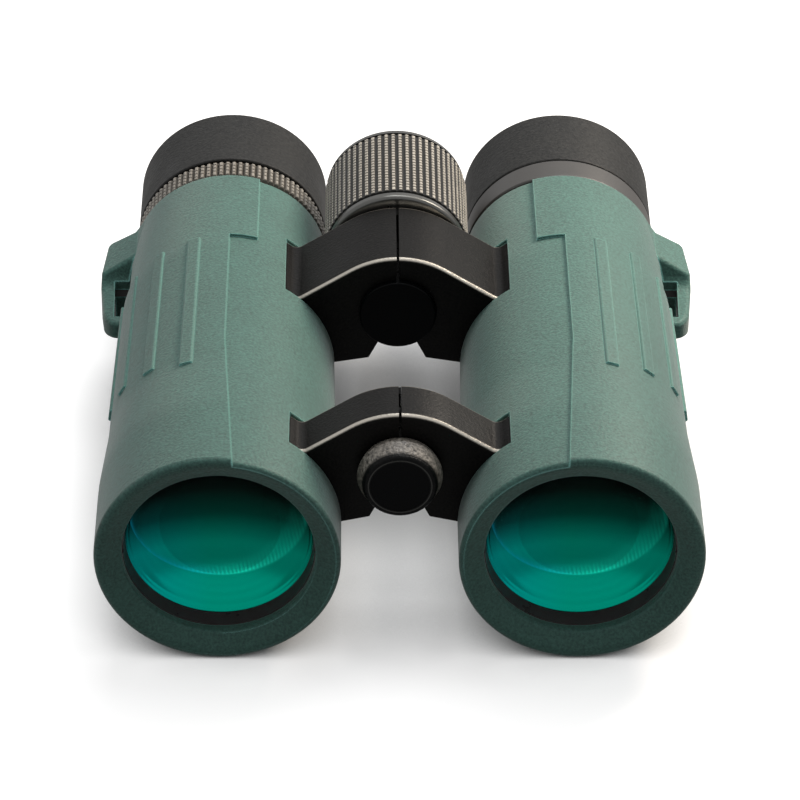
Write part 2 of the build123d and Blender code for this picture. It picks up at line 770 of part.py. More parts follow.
def lug_core(grow):
    """Frame of the metal bracket about the slot, grown on all sides."""
    low, high = -LUG_DROP + LUG_LIFT + LUG_CORE_INSET, LUG_BAR_TOP - LUG_CORE_INSET
    return plan(slot_outline(LUG_CORE + grow), low - grow, high + grow)


def strap_lug():
    """Metal bracket that lines the slot and carries the strap."""
    return lug_core(0) - strap_slot() - casting_shadow()


def casting_shadow():
    """The casting with room for a fixed seat."""
    return turned(
        (0, T_MAIN),
        (MAIN_R + FIT, T_MAIN),
        (MAIN_R + FIT, T_TAPER),
        (TAIL_R + FIT, T_TAIL),
        (0, T_TAIL),
    )


def bridge_window(front, back, lap):
    """Opening in the rubber round a pad of the casting."""
    low = ARM_FOOT - PAD_FOOT - WINDOW_PLAY
    edge = pad_edge(pad_r(front, back), lap)
    return block(edge - WINDOW_PLAY, 2 * RIM_R, front - WINDOW_PLAY, back + WINDOW_PLAY, low, RIM_R)


def rubber_armour():
    armour = inner_panel() + outer_panel() - armour_bore()
    for index in range(RIB_COUNT):
        armour += rib(index)
    armour += lug_block() - casting_shadow()
    armour -= strap_slot()
    armour -= lug_core(FIT)
    armour -= bridge_window(T_FRONT_BRIDGE, T_FRONT_BRIDGE_END, FRONT_PAD_LAP)
    return armour - bridge_window(T_REAR_BRIDGE, T_REAR_BRIDGE_END, REAR_PAD_LAP)


# Focusing lens and its drive

LENS_SEAT = T_CARRIAGE + CARRIAGE_LEDGE + FIT


def focus_lens():
    edge = bulge(FOCUS_LENS_RADIUS, FOCUS_LENS_R)
    return lens(FOCUS_LENS_R, LENS_SEAT + edge, FOCUS_LENS_THICK, -FOCUS_LENS_RADIUS, -FOCUS_LENS_RADIUS)


def focus_carriage(finger_t):
    back = T_CARRIAGE + CARRIAGE_THICK
    carriage = turned(
        (FOCUS_LENS_R - CARRIAGE_LEDGE, T_CARRIAGE),
        (CARRIAGE_R, T_CARRIAGE),
        (CARRIAGE_R, back),
        (FOCUS_LENS_R + FIT, back),
        (FOCUS_LENS_R + FIT, LENS_SEAT - FIT),
        (FOCUS_LENS_R - CARRIAGE_LEDGE, LENS_SEAT - FIT),
    )
    for x, z in rod_places():
        carriage -= rod(ROD_R + RUN, T_CARRIAGE - PLAY, back + PLAY, x, z)
    inner = CARRIAGE_R - FINGER
    carriage += drive_bar(inner, CARRIAGE_R, FINGER, T_CARRIAGE, finger_t + FINGER / 2)
    return carriage + drive_bar(inner, FINGER_TIP, FINGER, finger_t - FINGER / 2, finger_t + FINGER / 2)


def guide_rods():
    front = T_STEP + ROD_FLANGE_THICK - ROD_BED + FIT
    back = T_CAGE + CAGE_PLATE - FIT
    rods = [rod(ROD_R, front, back, x, z) for x, z in rod_places()]
    return Compound(children=rods)


# Prisms

CAGE_LENGTH = PRISM_REACH + 2 * CAGE_PLATE + 2 * FIT
T_PRISM = T_CAGE + CAGE_PLATE + FIT
PRISM_TOP = PRISM_REACH - PRISM_DROP


def side_section(points, width):
    """A section drawn in station and height, drawn out sideways about the optical axis."""
    plane = Plane((-width / 2, 0, 0), x_dir=(0, 1, 0), z_dir=(1, 0, 0))
    outline = Polyline(*[(y_at(t), z) for t, z in points], close=True)
    return extrude(plane * make_face(outline), amount=width)


def half_penta_prism():
    lean = PRISM_ENTRY * math.sqrt(0.5)
    sharp = -PRISM_DROP
    return side_section(
        [
            (T_PRISM, sharp),
            (T_PRISM, sharp + PRISM_ENTRY),
            (T_PRISM + lean, sharp + lean),
        ],
        PRISM_WIDTH,
    )


def roof_prism():
    lean = PRISM_ENTRY * math.sqrt(0.5)
    end = T_PRISM + PRISM_REACH
    sharp = PRISM_TOP - PRISM_GAP * math.sqrt(2)
    body = side_section(
        [(end, sharp), (end, sharp - PRISM_ENTRY), (end - lean, sharp - lean)],
        PRISM_WIDTH,
    )
    return body - roof_cutter((end, sharp - PRISM_ENTRY), (end - lean, sharp - lean))


def roof_cutter(low, high):
    """Leaves two faces at right angles that meet in a ridge along the prism's base."""
    start = Vector(0, y_at(low[0]), low[1])
    along = Vector(0, high[0] - low[0], high[1] - low[1])
    half = PRISM_WIDTH / 2
    plane = Plane(start, x_dir=(1, 0, 0), z_dir=along.normalized())
    inward = 1 if plane.y_dir.Y + plane.y_dir.Z > 0 else -1
    gable = Polyline(
        (-half - FIT, inward * (half + FIT)),
        (0, 0),
        (half + FIT, inward * (half + FIT)),
        (half + FIT, -inward * half),
        (-half - FIT, -inward * half),
        close=True,
    )
    return extrude(plane * make_face(gable), amount=2 * along.length, both=True)


def prism_cage():
    """Two plates joined by cheeks beside the prisms, open for the drive bar."""
    back = T_CAGE + CAGE_LENGTH
    cage = rod(CAGE_R, T_CAGE, T_CAGE + CAGE_PLATE) + rod(CAGE_R, back - CAGE_PLATE, back)
    cheek = PRISM_WIDTH / 2 + FIT
    for side in (-1, 1):
        inner, outer = sorted((side * cheek, side * (cheek + CAGE_CHEEK)))
        half = CAGE_CHEEK_HEIGHT / 2
        cage += block(inner, outer, T_CAGE + FIT, back - FIT, -half, half)
    cage -= rod(CAGE_BORE_FRONT, T_CAGE - PLAY, T_CAGE + CAGE_PLATE)
    cage -= rod(CAGE_BORE_REAR, back - CAGE_PLATE, back + PLAY)
    for x, z in rod_places():
        cage -= rod(ROD_R + FIT, T_CAGE - PLAY, T_CAGE + CAGE_PLATE + PLAY, x, z)
    inner = CARRIAGE_R - FINGER - PLAY
    return cage - drive_bar(inner, MAIN_R, FINGER + 2 * PLAY, T_CAGE - PLAY, back + PLAY)


def prism_clamp():
    """Spring strip over the first prism's upper edge, from plate to plate."""
    top = PRISM_ENTRY - PRISM_DROP + FIT
    front = T_CAGE + CAGE_PLATE
    return block(-CLAMP_WIDTH / 2, CLAMP_WIDTH / 2, front, front + PRISM_REACH, top, top + CLAMP_THICK)


# Eyepiece

T_OCULAR = T_TAIL - COLLAR_LENGTH
T_OCULAR_END = T_TUBE_END - OCULAR_BELOW_TUBE
FIELD_VERTEX = T_OCULAR + DIOPTER_TRAVEL
FIELD_LEDGE_T = FIELD_VERTEX + FIELD_LENS_THICK - bulge(FIELD_LENS_RADIUS, OCULAR_FIELD_STOP) + FIT
RETAINER_T = T_OCULAR_END - OCULAR_RETAINER
EYE_LEDGE_R = EYE_LENS_R - OCULAR_LEDGE
EYE_VERTEX = RETAINER_T - FIT + bulge(EYE_LENS_RADIUS, EYE_LEDGE_R) - EYE_LENS_THICK
EYE_LEDGE_T = EYE_VERTEX + bulge(EYE_LENS_RADIUS, OCULAR_FIELD_STOP) - FIT


def eyepiece_tube():
    bore = EYE_TUBE_R - EYE_TUBE_WALL
    tube = turned(
        (bore, T_OCULAR + FIT),
        (EYE_TUBE_R, T_OCULAR + FIT),
        (EYE_TUBE_R, T_TAIL + FIT),
        (FLANGE_R, T_TAIL + FIT),
        (FLANGE_R, T_CUP - CUP_GAP / 2),
        (EYE_TUBE_R, T_CUP - CUP_GAP / 2),
        (EYE_TUBE_R, T_TUBE_END),
        (bore, T_TUBE_END),
    )
    return tube - key_way()


def key_way():
    """Straight groove that keeps the eyecup's guide ring from turning and ends its travel."""
    low = EYE_TUBE_R - KEY_DEPTH
    half = KEY_WIDTH / 2 + RUN
    stop = T_GUIDE + GUIDE_LENGTH + CUP_RISE + PLAY
    return block(-half, half, T_CUP, stop, low - RUN, EYE_TUBE_R + PLAY)


def ocular_cell():
    return turned(
        (FIELD_LENS_R + FIT, T_OCULAR),
        (OCULAR_R, T_OCULAR),
        (OCULAR_R, T_OCULAR_END),
        (EYE_LENS_R + OCULAR_THREAD + FIT, T_OCULAR_END),
        (EYE_LENS_R + OCULAR_THREAD + FIT, RETAINER_T),
        (EYE_LENS_R + FIT, RETAINER_T),
        (EYE_LENS_R + FIT, EYE_LEDGE_T),
        (OCULAR_FIELD_STOP, EYE_LEDGE_T),
        (OCULAR_FIELD_STOP, FIELD_LEDGE_T),
        (FIELD_LENS_R + FIT, FIELD_LEDGE_T),
    )


def field_lens():
    return lens(FIELD_LENS_R, FIELD_VERTEX, FIELD_LENS_THICK, FIELD_LENS_RADIUS, FIELD_LENS_RADIUS)


def eye_lens():
    return lens(EYE_LENS_R, EYE_VERTEX, EYE_LENS_THICK, EYE_LENS_RADIUS, EYE_LENS_RADIUS)


def ocular_retaining_ring():
    return turned(
        (EYE_LEDGE_R, RETAINER_T + FIT),
        (EYE_LENS_R + OCULAR_THREAD, RETAINER_T + FIT),
        (EYE_LENS_R + OCULAR_THREAD, T_OCULAR_END),
        (EYE_LEDGE_R + OCULAR_THREAD, T_OCULAR_END),
    )


def barrel_ring():
    """Ring between armour and eyecup: the diopter control, or plain trim."""
    return turned_soft(
        (FLANGE_R + RUN, T_RING, 0),
        (RING_R, T_RING, RING_ROUND),
        (RING_R, T_RING + RING_WIDTH, RING_ROUND),
        (FLANGE_R + RUN, T_RING + RING_WIDTH, 0),
    )


# Eyecup

def eyecup_guide_ring():
    ring = turned(
        (EYE_TUBE_R + RUN, T_GUIDE),
        (GUIDE_R, T_GUIDE),
        (GUIDE_R, T_GUIDE + GUIDE_LENGTH),
        (EYE_TUBE_R + RUN, T_GUIDE + GUIDE_LENGTH),
    )
    low = EYE_TUBE_R - KEY_DEPTH
    half = KEY_WIDTH / 2
    return ring + block(-half, half, T_GUIDE, T_GUIDE + GUIDE_LENGTH, low, GUIDE_R - GUIDE_WALL / 2)


def eyecup_sleeve():
    top = LENGTH - SLEEVE_TOP
    step = T_GUIDE + GUIDE_LENGTH + FIT
    return turned(
        (SLEEVE_BORE_R, T_CUP),
        (SLEEVE_R, T_CUP),
        (SLEEVE_R, top),
        (CUP_MOUTH_R + SLEEVE_RIM, top),
        (CUP_MOUTH_R + SLEEVE_RIM, top - SLEEVE_RIM),
        (EYE_TUBE_R + 2 * RUN, top - SLEEVE_RIM),
        (EYE_TUBE_R + 2 * RUN, step),
        (SLEEVE_BORE_R, step),
    )


def eyecup_rubber():
    top = LENGTH - SLEEVE_TOP
    inner = CUP_MOUTH_R + SLEEVE_RIM - FIT
    return turned_soft(
        (SLEEVE_R + FIT, T_CUP, 0),
        (CUP_R, T_CUP, RING_ROUND),
        (CUP_R, LENGTH, CUP_ROUND),
        (CUP_MOUTH_R, LENGTH, CUP_MOUTH_ROUND),
        (CUP_MOUTH_R, top - SLEEVE_RIM, 0),
        (inner, top - SLEEVE_RIM, 0),
        (inner, top + FIT, 0),
        (SLEEVE_R + FIT, top + FIT, 0),
    )


# Hinge and focus wheel, drawn on the hinge axis

def hinge_washers():
    rings = []
    for knuckles, pin in ((FRONT_KNUCKLES, PIN_R), (REAR_KNUCKLES, TUBE_R)):
        room = (KNUCKLE_GAP - WASHER_THICK) / 2
        for start in (knuckles[1] + room, knuckles[2] - KNUCKLE_GAP + room):
            ring = rod(HUB_R - WASHER_EDGE, start, start + WASHER_THICK)
            rings.append(ring - rod(pin + RUN, start, start + WASHER_THICK))
    return Compound(children=rings)


def finger_sweep():
    """Room in the hinge tube for the left finger over the whole fold."""
    start = math.radians(-HINGE_ANGLE + SLOT_ANGLE_PLAY)
    end = math.radians(-HINGE_ANGLE - FOLD_ANGLE - SLOT_ANGLE_PLAY)
    reach = 2 * TUBE_R
    half_way = (start + end) / 2
    start += math.asin((FINGER / 2) / TUBE_BORE_R)
    end -= math.asin((FINGER / 2) / TUBE_BORE_R)
    wedge = Polyline(
        (0, 0),
        (reach * math.cos(start), reach * math.sin(start)),
        (2 * reach * math.cos(half_way), 2 * reach * math.sin(half_way)),
        (reach * math.cos(end), reach * math.sin(end)),
        close=True,
    )
    long = FINGER / 2 + TRAVEL + PLAY
    return slab(make_face(wedge), LEFT_FINGER_T - long, LEFT_FINGER_T + long)


def hinge_tube():
    back = T_WHEEL + WHEEL_BEARING
    front = T_REAR_BRIDGE + FIT
    tube = rod(TUBE_R, front, back) - rod(TUBE_BORE_R, front - PLAY, back + PLAY)
    tube -= Pos(-HALF_SPACING, 0, -HINGE_RISE) * drive_channel(RIGHT_FINGER_T)
    return tube - finger_sweep()


def hinge_plug():
    """Round boss on the front of the rear bridge, which closes the hinge tube."""
    plug = turned_soft(
        (0, T_REAR_BRIDGE - PLUG_PROUD, 0),
        (HUB_R, T_REAR_BRIDGE - PLUG_PROUD, PLUG_ROUND),
        (HUB_R, T_REAR_BRIDGE - FIT, 0),
        (TUBE_BORE_R - FIT, T_REAR_BRIDGE - FIT, 0),
        (TUBE_BORE_R - FIT, T_REAR_BRIDGE + PLUG_SPIGOT, 0),
        (0, T_REAR_BRIDGE + PLUG_SPIGOT, 0),
    )
    back = T_REAR_BRIDGE + PLUG_SPIGOT
    return plug - rod(SPINDLE_TIP_R + RUN, back - SPINDLE_TIP - FIT, back + PLAY)


def focus_spindle():
    step = T_REAR_BRIDGE + PLUG_SPIGOT + FIT
    tip = rod(SPINDLE_TIP_R, step - SPINDLE_TIP, step)
    return tip + rod(SPINDLE_R, step, T_WHEEL_END - END_CAP_THICK - FIT)


def focus_traveller():
    """Nut on the spindle with a groove for each barrel's drive finger."""
    radius = TUBE_BORE_R - RUN
    wide = FINGER / 2 + FIT
    front = LEFT_FINGER_T - wide - TRAVELLER_END
    back = RIGHT_FINGER_T + wide + TRAVELLER_END
    nut = rod(radius, front, back)
    for centre in (LEFT_FINGER_T, RIGHT_FINGER_T):
        groove = rod(radius + PLAY, centre - wide, centre + wide)
        nut -= groove - rod(radius - GROOVE_DEPTH, centre - wide, centre + wide)
    return nut - rod(SPINDLE_R + RUN, front - PLAY, back + PLAY)


def focus_wheel_core():
    web = T_WHEEL_END - END_CAP_THICK - WHEEL_WEB
    soft = WHEEL_LIP_ROUND
    core = turned_soft(
        (TUBE_R + RUN, T_WHEEL, 0),
        (WHEEL_R, T_WHEEL, soft),
        (WHEEL_R, T_WHEEL + WHEEL_FRONT_LIP, 0),
        (WHEEL_CORE_R, T_WHEEL + WHEEL_FRONT_LIP, 0),
        (WHEEL_CORE_R, T_WHEEL_END - WHEEL_REAR_LIP, 0),
        (WHEEL_R, T_WHEEL_END - WHEEL_REAR_LIP, 0),
        (WHEEL_R, T_WHEEL_END, soft),
        (END_CAP_R + FIT, T_WHEEL_END, 0),
        (END_CAP_R + FIT, T_WHEEL_END - END_CAP_THICK, 0),
        (SPINDLE_R + FIT, T_WHEEL_END - END_CAP_THICK, 0),
        (SPINDLE_R + FIT, web, 0),
        (TUBE_R + RUN, web, 0),
    )
    return core


def focus_wheel_grip():
    """Rubber tyre of the wheel, with straight knurls."""
    front = T_WHEEL + WHEEL_FRONT_LIP + FIT
    back = T_WHEEL_END - WHEEL_REAR_LIP - FIT
    return rod(WHEEL_R + KNURL_HEIGHT, front, back) - rod(WHEEL_CORE_R + FIT, front, back)


def focus_wheel_cap():
    return turned_soft(
        (0, T_WHEEL_END - END_CAP_THICK + FIT, 0),
        (END_CAP_R, T_WHEEL_END - END_CAP_THICK + FIT, 0),
        (END_CAP_R, T_WHEEL_END, PLUG_ROUND),
        (0, T_WHEEL_END, 0),
    )


def tripod_socket():
    """Front hinge pin with the tripod thread in its head."""
    head = T_FRONT_BRIDGE - SPIGOT_LENGTH
    end = T_FRONT_BRIDGE_END + FIT
    pin = rod(SPIGOT_R, head, T_FRONT_BRIDGE - FIT)
    pin += rod(PIN_R, T_FRONT_BRIDGE - PLAY, end)
    pin += rod(NUT_THREAD_R, end, end + NUT_THICK)
    return pin - rod(SOCKET_R, head - PLAY, head + SOCKET_DEPTH)


def front_hinge_nut():
    start = T_FRONT_BRIDGE_END + 2 * FIT
    nut = slab(RegularPolygon(NUT_R, 6, major_radius=False), start, start + NUT_THICK)
    nut &= rod(NUT_R + PLAY, start, start + NUT_THICK)
    return nut - rod(NUT_THREAD_R + FIT, start - PLAY, start + NUT_THICK + PLAY)


def tripod_cap():
    back = T_FRONT_BRIDGE - PLAY
    front = back - CAP_LENGTH
    bore = SPIGOT_R + RUN
    return turned_soft(
        (0, front + DISC_THICK, 0),
        (DISC_R + FIT, front + DISC_THICK, 0),
        (DISC_R + FIT, front, 0),
        (CAP_FACE_R, front, CAP_ROUND),
        (CAP_R, back - CAP_WAIST, CAP_ROUND),
        (CAP_BACK_R, back, 0),
        (bore, back, 0),
        (bore, front + CAP_PLATE, 0),
        (0, front + CAP_PLATE, 0),
    )


def tripod_cap_disc():
    front = T_FRONT_BRIDGE - PLAY - CAP_LENGTH
    return rod(DISC_R, front + FIT, front + DISC_THICK - FIT)


def half_parts(is_right):
    """Every piece of one barrel, on its own optical axis."""
    finger = RIGHT_FINGER_T if is_right else LEFT_FINGER_T
    return {
        "barrel_casting": barrel_casting(is_right),
        "rubber_armour": rubber_armour(),
        "strap_lug": strap_lug(),
        "objective_front_lens": objective_front_lens(),
        "objective_rear_lens": objective_rear_lens(),
        "objective_cell": objective_cell(),
        "objective_retaining_ring": objective_retaining_ring(),
        "objective_seal": objective_seal(),
        "focus_lens": focus_lens(),
        "focus_carriage": focus_carriage(finger),
        "guide_rods": guide_rods(),
        "prism_cage": prism_cage(),
        "half_penta_prism": half_penta_prism(),
        "roof_prism": roof_prism(),
        "prism_clamp": prism_clamp(),
        "eyepiece_tube": eyepiece_tube(),
        "ocular_cell": ocular_cell(),
        "field_lens": field_lens(),
        "eye_lens": eye_lens(),
        "ocular_retaining_ring": ocular_retaining_ring(),
        "diopter_ring" if is_right else "trim_ring": barrel_ring(),
        "eyecup_guide_ring": eyecup_guide_ring(),
        "eyecup_sleeve": eyecup_sleeve(),
        "eyecup_rubber": eyecup_rubber(),
    }


def hinge_parts():
    return {
        "hinge_tube": hinge_tube(),
        "hinge_plug": hinge_plug(),
        "hinge_washers": hinge_washers(),
        "tripod_socket": tripod_socket(),
        "front_hinge_nut": front_hinge_nut(),
        "tripod_cap": tripod_cap(),
        "tripod_cap_disc": tripod_cap_disc(),
        "focus_spindle": focus_spindle(),
        "focus_traveller": focus_traveller(),
        "focus_wheel_core": focus_wheel_core(),
        "focus_wheel_grip": focus_wheel_grip(),
        "focus_wheel_cap": focus_wheel_cap(),
    }


def all_parts():
    """Every piece in its place, the barrels resting on the ground."""
    lift = RIM_R
    placed = {}
    for name, shape in half_parts(True).items():
        placed["right_" + name] = Pos(-HALF_SPACING, 0, lift) * shape
    for name, shape in half_parts(False).items():
        placed["left_" + name] = Pos(HALF_SPACING, 0, lift) * mirror(shape, about=Plane.YZ)
    for name, shape in hinge_parts().items():
        placed[name] = Pos(0, 0, lift + HINGE_RISE) * shape
    return placed


def main():
    os.makedirs("parts", exist_ok=True)
    for name, shape in all_parts().items():
        export_step(shape, f"parts/{name}.step")


if __name__ == "__main__":
    main()
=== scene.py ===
"""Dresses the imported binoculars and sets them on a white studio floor."""

import json
import math

import bmesh
import bpy
from mathutils import Matrix, Vector

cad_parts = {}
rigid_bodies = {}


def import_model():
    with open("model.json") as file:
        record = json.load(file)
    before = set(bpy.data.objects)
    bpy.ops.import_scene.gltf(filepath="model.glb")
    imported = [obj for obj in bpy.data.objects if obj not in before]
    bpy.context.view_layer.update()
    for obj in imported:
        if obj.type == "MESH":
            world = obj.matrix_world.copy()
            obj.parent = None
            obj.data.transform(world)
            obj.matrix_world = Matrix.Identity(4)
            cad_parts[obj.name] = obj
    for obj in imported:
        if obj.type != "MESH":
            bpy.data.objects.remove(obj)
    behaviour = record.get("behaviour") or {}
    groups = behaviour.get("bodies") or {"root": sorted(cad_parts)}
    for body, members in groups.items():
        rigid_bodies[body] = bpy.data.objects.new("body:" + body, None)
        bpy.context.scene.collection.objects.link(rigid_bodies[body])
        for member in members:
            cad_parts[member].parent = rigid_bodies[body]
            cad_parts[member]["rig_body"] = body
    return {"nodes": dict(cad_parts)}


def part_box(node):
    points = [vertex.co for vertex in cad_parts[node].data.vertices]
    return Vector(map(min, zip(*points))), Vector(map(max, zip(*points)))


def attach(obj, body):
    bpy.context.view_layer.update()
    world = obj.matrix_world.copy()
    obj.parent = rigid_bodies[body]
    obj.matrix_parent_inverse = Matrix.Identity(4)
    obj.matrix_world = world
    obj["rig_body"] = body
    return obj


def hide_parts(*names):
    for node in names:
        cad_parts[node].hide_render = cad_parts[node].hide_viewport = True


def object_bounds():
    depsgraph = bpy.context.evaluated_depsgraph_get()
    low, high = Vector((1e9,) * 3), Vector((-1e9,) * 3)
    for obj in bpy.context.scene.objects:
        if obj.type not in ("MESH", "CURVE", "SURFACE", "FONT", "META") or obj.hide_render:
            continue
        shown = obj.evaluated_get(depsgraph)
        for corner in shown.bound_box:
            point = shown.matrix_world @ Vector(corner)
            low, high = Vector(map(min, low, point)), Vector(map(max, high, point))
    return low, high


bl_info = {
    "name": "Binoculars",
    "version": (1, 0, 0),
    "blender": (4, 5, 0),
    "location": "View3D > Sidebar > Binoculars",
    "description": "Open-bridge roof-prism binoculars in green rubber armour",
    "category": "Object",
}

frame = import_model()
CAD_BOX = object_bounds()
MM = 0.001
WHITE = "#FFFFFF"
BLACK = "#000000"
# How much of the knurl's depth takes the painted groove shade, and what is left of its top.
GROOVE_MARGIN = 0.06 * MM
CREST_MARGIN = 0.04 * MM
# Plain margin at both ends of a knurled band, and the walls of the two bands.
BAND_EDGE = 0.5 * MM
DIOPTER_WALL = 2.3 * MM
WHEEL_WALL = 2.2 * MM
# Dark strips set behind the slits of the bridges as painted shade.
SLIT_REACH = 0.8 * MM
STRIP_THICK = 0.65 * MM
STRIP_LONG = 2.6 * MM
STRIP_TALL = 3.6 * MM
STRIP_STAND = 0.53 * MM
STRIP_SET_IN = 0.45 * MM
STRIP_ROUND = 0.12 * MM
# Section of the coated dish behind each objective: share of the lens radius, and depth in mm.
DISH_LEAD = 2.3 * MM
DISH_RIM_STEPS = (
    (0.99, 0.0), (0.966, 0.36), (0.961, 0.5), (0.953, 0.55), (0.935, 0.82), (0.93, 0.96), (0.922, 1.0),
)
DISH_HOLLOW = ((0.87, 1.69), (0.81, 2.44), (0.67, 3.9), (0.48, 5.37), (0.24, 6.49), (0.0, 6.85))
DISH_BACK = ((0.0, 7.6), (0.25, 7.2), (0.5, 6.0), (0.7, 4.4), (0.85, 2.9), (0.998, 1.2), (0.998, 0.0))
DISH_STEPS = 96
# Painted reflection and shade on the coating, from the foot of the lens to its crest: heights in mm from the axis,
# then shares of the colour.
COATING_FOOT = -16
COATING_CREST = 12
COATING_SHADES = ((0.14, 1.0), (0.36, 1.25), (0.63, 0.27), (0.9, 0.025))
COATING_CREST_SHADE = 0.015
POLISH_RING = 5.0
POLISH_SHARE = 0.05
# A painted reflection: the edge of the glass inside as a bright arc, with its circle, the section of its line, and
# the streaks in its glow.
INNER_GLASS_RAISED = 6.0 * MM
INNER_GLASS_R = 19.5 * MM
ARC_SECTION = ((0.15, "#000000"), (0.25, "#F0F0F0"), (0.45, "#B0B0B0"), (0.95, "#000000"))
# Spans along x in mm from the axis, with the values at both ends.
BLUE_SPAN = (-2, -20, 0.0, 0.55)
ARC_WIDTH = (-14, 10, 0.9 * MM, 5 * MM)
ARC_RISE = (-16, 4, 0.55, 1.0)
ARC_FALL = (10, 19, 1.0, 0.25)
ARC_HUE = (-12, 2, 0.0, 1.0)
STREAK_WIDTH = 2.8
STREAK_TURN = 0.2
STREAK_LOW = 0.55
# A painted highlight: a thin pale line round the disc of the tripod cap; and the depth of the cap's black face.
DISC_HIGHLIGHT_OUT = 0.45 * MM
DISC_HIGHLIGHT_HALF = 0.15 * MM
CAP_FACE_END = 0.8 * MM
CAP_SIDE_START = 1.6 * MM
# The stage: half the paper's side, the paper's drop under the object, and how bright it is in reflections.
FLOOR_HALF = 3.0
FLOOR_DROP = 0.02 * MM
FLOOR_MIRRORED = 0.34
ROOM_LIGHT = 0.3
# The painted shadow on the paper: an ellipse round the object, and the paper's painted glow from its middle
# outwards.
SHADOW_CENTRE = (0, -2 * MM, 0)
SHADOW_REACH = (68 * MM, 72 * MM, 1)
SHADOW_END = 1.25
GLOW_LEAST = 0.2
GLOW_LEVELS = ((0.2, 0.2), (0.5, 0.4), (0.62, 0.46))
GLOW_MOST = 0.75
# Painted contact shadow where the barrels touch the paper: how far it reaches, and the shares of open sky that are
# dark and clear.
CONTACT_REACH = 32 * MM
CONTACT_DARK = 0.22
CONTACT_CLEAR = 0.7
# Name, place in m, side in m, power in W and colour of each lamp, all aimed at one spot.
LAMPS = (
    ("key_softbox", (0.06, 0.42, 1.05), 0.6, 6.8, WHITE),
    ("side_softbox", (0.22, 0.16, 0.26), 0.14, 1.35, "#FFF3E4"),
)
LAMP_AIM = Vector((0, 0, 0.02))
CAMERA_PLACE = (-0.00996, -0.78409, 0.57010)
CAMERA_RIGHT = Vector((0.999907, -0.013613, 0))
CAMERA_UP = Vector((0.007847, 0.57638, 0.81714))
CAMERA_ROLL = math.radians(0.5)
CAMERA_CLIP = 0.01


def linear(code):
    """An sRGB hex colour as the linear colour that Blender works in."""
    shares = [int(code[i : i + 2], 16) / 255 for i in (1, 3, 5)]
    return [s / 12.92 if s <= 0.04045 else ((s + 0.055) / 1.055) ** 2.4 for s in shares] + [1.0]


def per_mm(size):
    """Texture scale at which a pattern repeats about every so many millimetres."""
    return 1 / (size * MM)


def colour_prop(name, description, code):
    return bpy.props.FloatVectorProperty(
        name=name, description=description, default=linear(code), size=4, min=0, max=1, subtype="COLOR"
    )


def length_prop(name, description, mm):
    return bpy.props.FloatProperty(name=name, description=description, default=mm * MM, min=0, unit="LENGTH")


class BinocularColours(bpy.types.PropertyGroup):
    """Colours of the finishes."""

    armour: colour_prop("Armour", "Green rubber over the barrels", "#40635B")
    bridge: colour_prop("Bridges", "Black powder coat on the castings", "#0A0908")
    eyecup: colour_prop("Eyecups", "Dark grey soft rubber", "#1C1C1B")
    # Pale: on the tops of the wheel's scales this is a painted highlight on dark grey rubber.
    grip: colour_prop("Wheel grip", "Dark grey knurled rubber on the focus wheel", "#ABA69D")
    wheel: colour_prop("Wheel", "Grey anodised lips of the focus wheel", "#565654")
    ring: colour_prop("Trim ring", "Dark ring in front of the left eyecup", "#302E2C")
    diopter: colour_prop("Diopter ring", "Knurled ring in front of the right eyecup", "#8E8981")
    # Pale grey: a painted highlight on the side of a dark cap.
    cap: colour_prop("Tripod cap", "Grained plastic of the tripod cap", "#77726B")
    coating: colour_prop("Lens coating", "Colour that the coated objective reflects", "#00937C")


class BinocularSizes(bpy.types.PropertyGroup):
    """Sizes of the details."""

    wheel_columns: bpy.props.IntProperty(
        name="Wheel columns", description="Columns of the focus wheel's knurl", default=64, min=8
    )
    wheel_row: length_prop("Wheel row", "Row spacing of the focus wheel's knurl", 1.2)
    diopter_columns: bpy.props.IntProperty(
        name="Diopter columns", description="Columns of the diopter ring's knurl", default=92, min=8
    )
    diopter_row: length_prop("Diopter row", "Row spacing of the diopter ring's knurl", 1.4)
    knurl_groove: length_prop("Knurl groove", "Width of the grooves between the knurl's columns", 0.5)
    knurl_height: length_prop("Knurl height", "Height of the knurl's columns", 0.7)
    scale_notch: length_prop("Scale notch", "Width of the notches between the scales of a column", 0.5)
    scale_height: length_prop("Scale height", "Height of the scales on a column", 0.3)
    # Width of the painted highlight along the edges of the armour's panels and ribs.
    edge_highlight_width: length_prop("Rubbed edge", "Width of the paler edges of the armour's panels", 0.55)
    focal: bpy.props.FloatProperty(
        name="Camera lens", description="Focal length of the camera", default=186.3, unit="CAMERA"
    )


def colours():
    return bpy.context.scene.binocular_colours


def sizes():
    return bpy.context.scene.binocular_sizes


def add(tree, kind, feeds=None, **settings):
    """Adds a node with its settings; feeds gives an input a value or another node's output."""
    node = tree.nodes.new(kind)
    for key, value in settings.items():
        setattr(node, key, value)
    for key, value in (feeds or {}).items():
        if isinstance(value, bpy.types.NodeSocket):
            tree.links.new(value, node.inputs[key])
        else:
            node.inputs[key].default_value = value
    return node


def shader_of(material):
    return material.node_tree.nodes["Principled BSDF"]


def surface(name, **sockets):
    """A new material with plain values on its shader's sockets."""
    material = bpy.data.materials.new(name)
    material.use_nodes = True
    for key, value in sockets.items():
        shader_of(material).inputs[key.replace("_", " ")].default_value = value
    return material


def shaded(colour, factor):
    """A linear colour made lighter or darker."""
    return [min(1.0, c * factor) for c in colour[:3]] + [1.0]


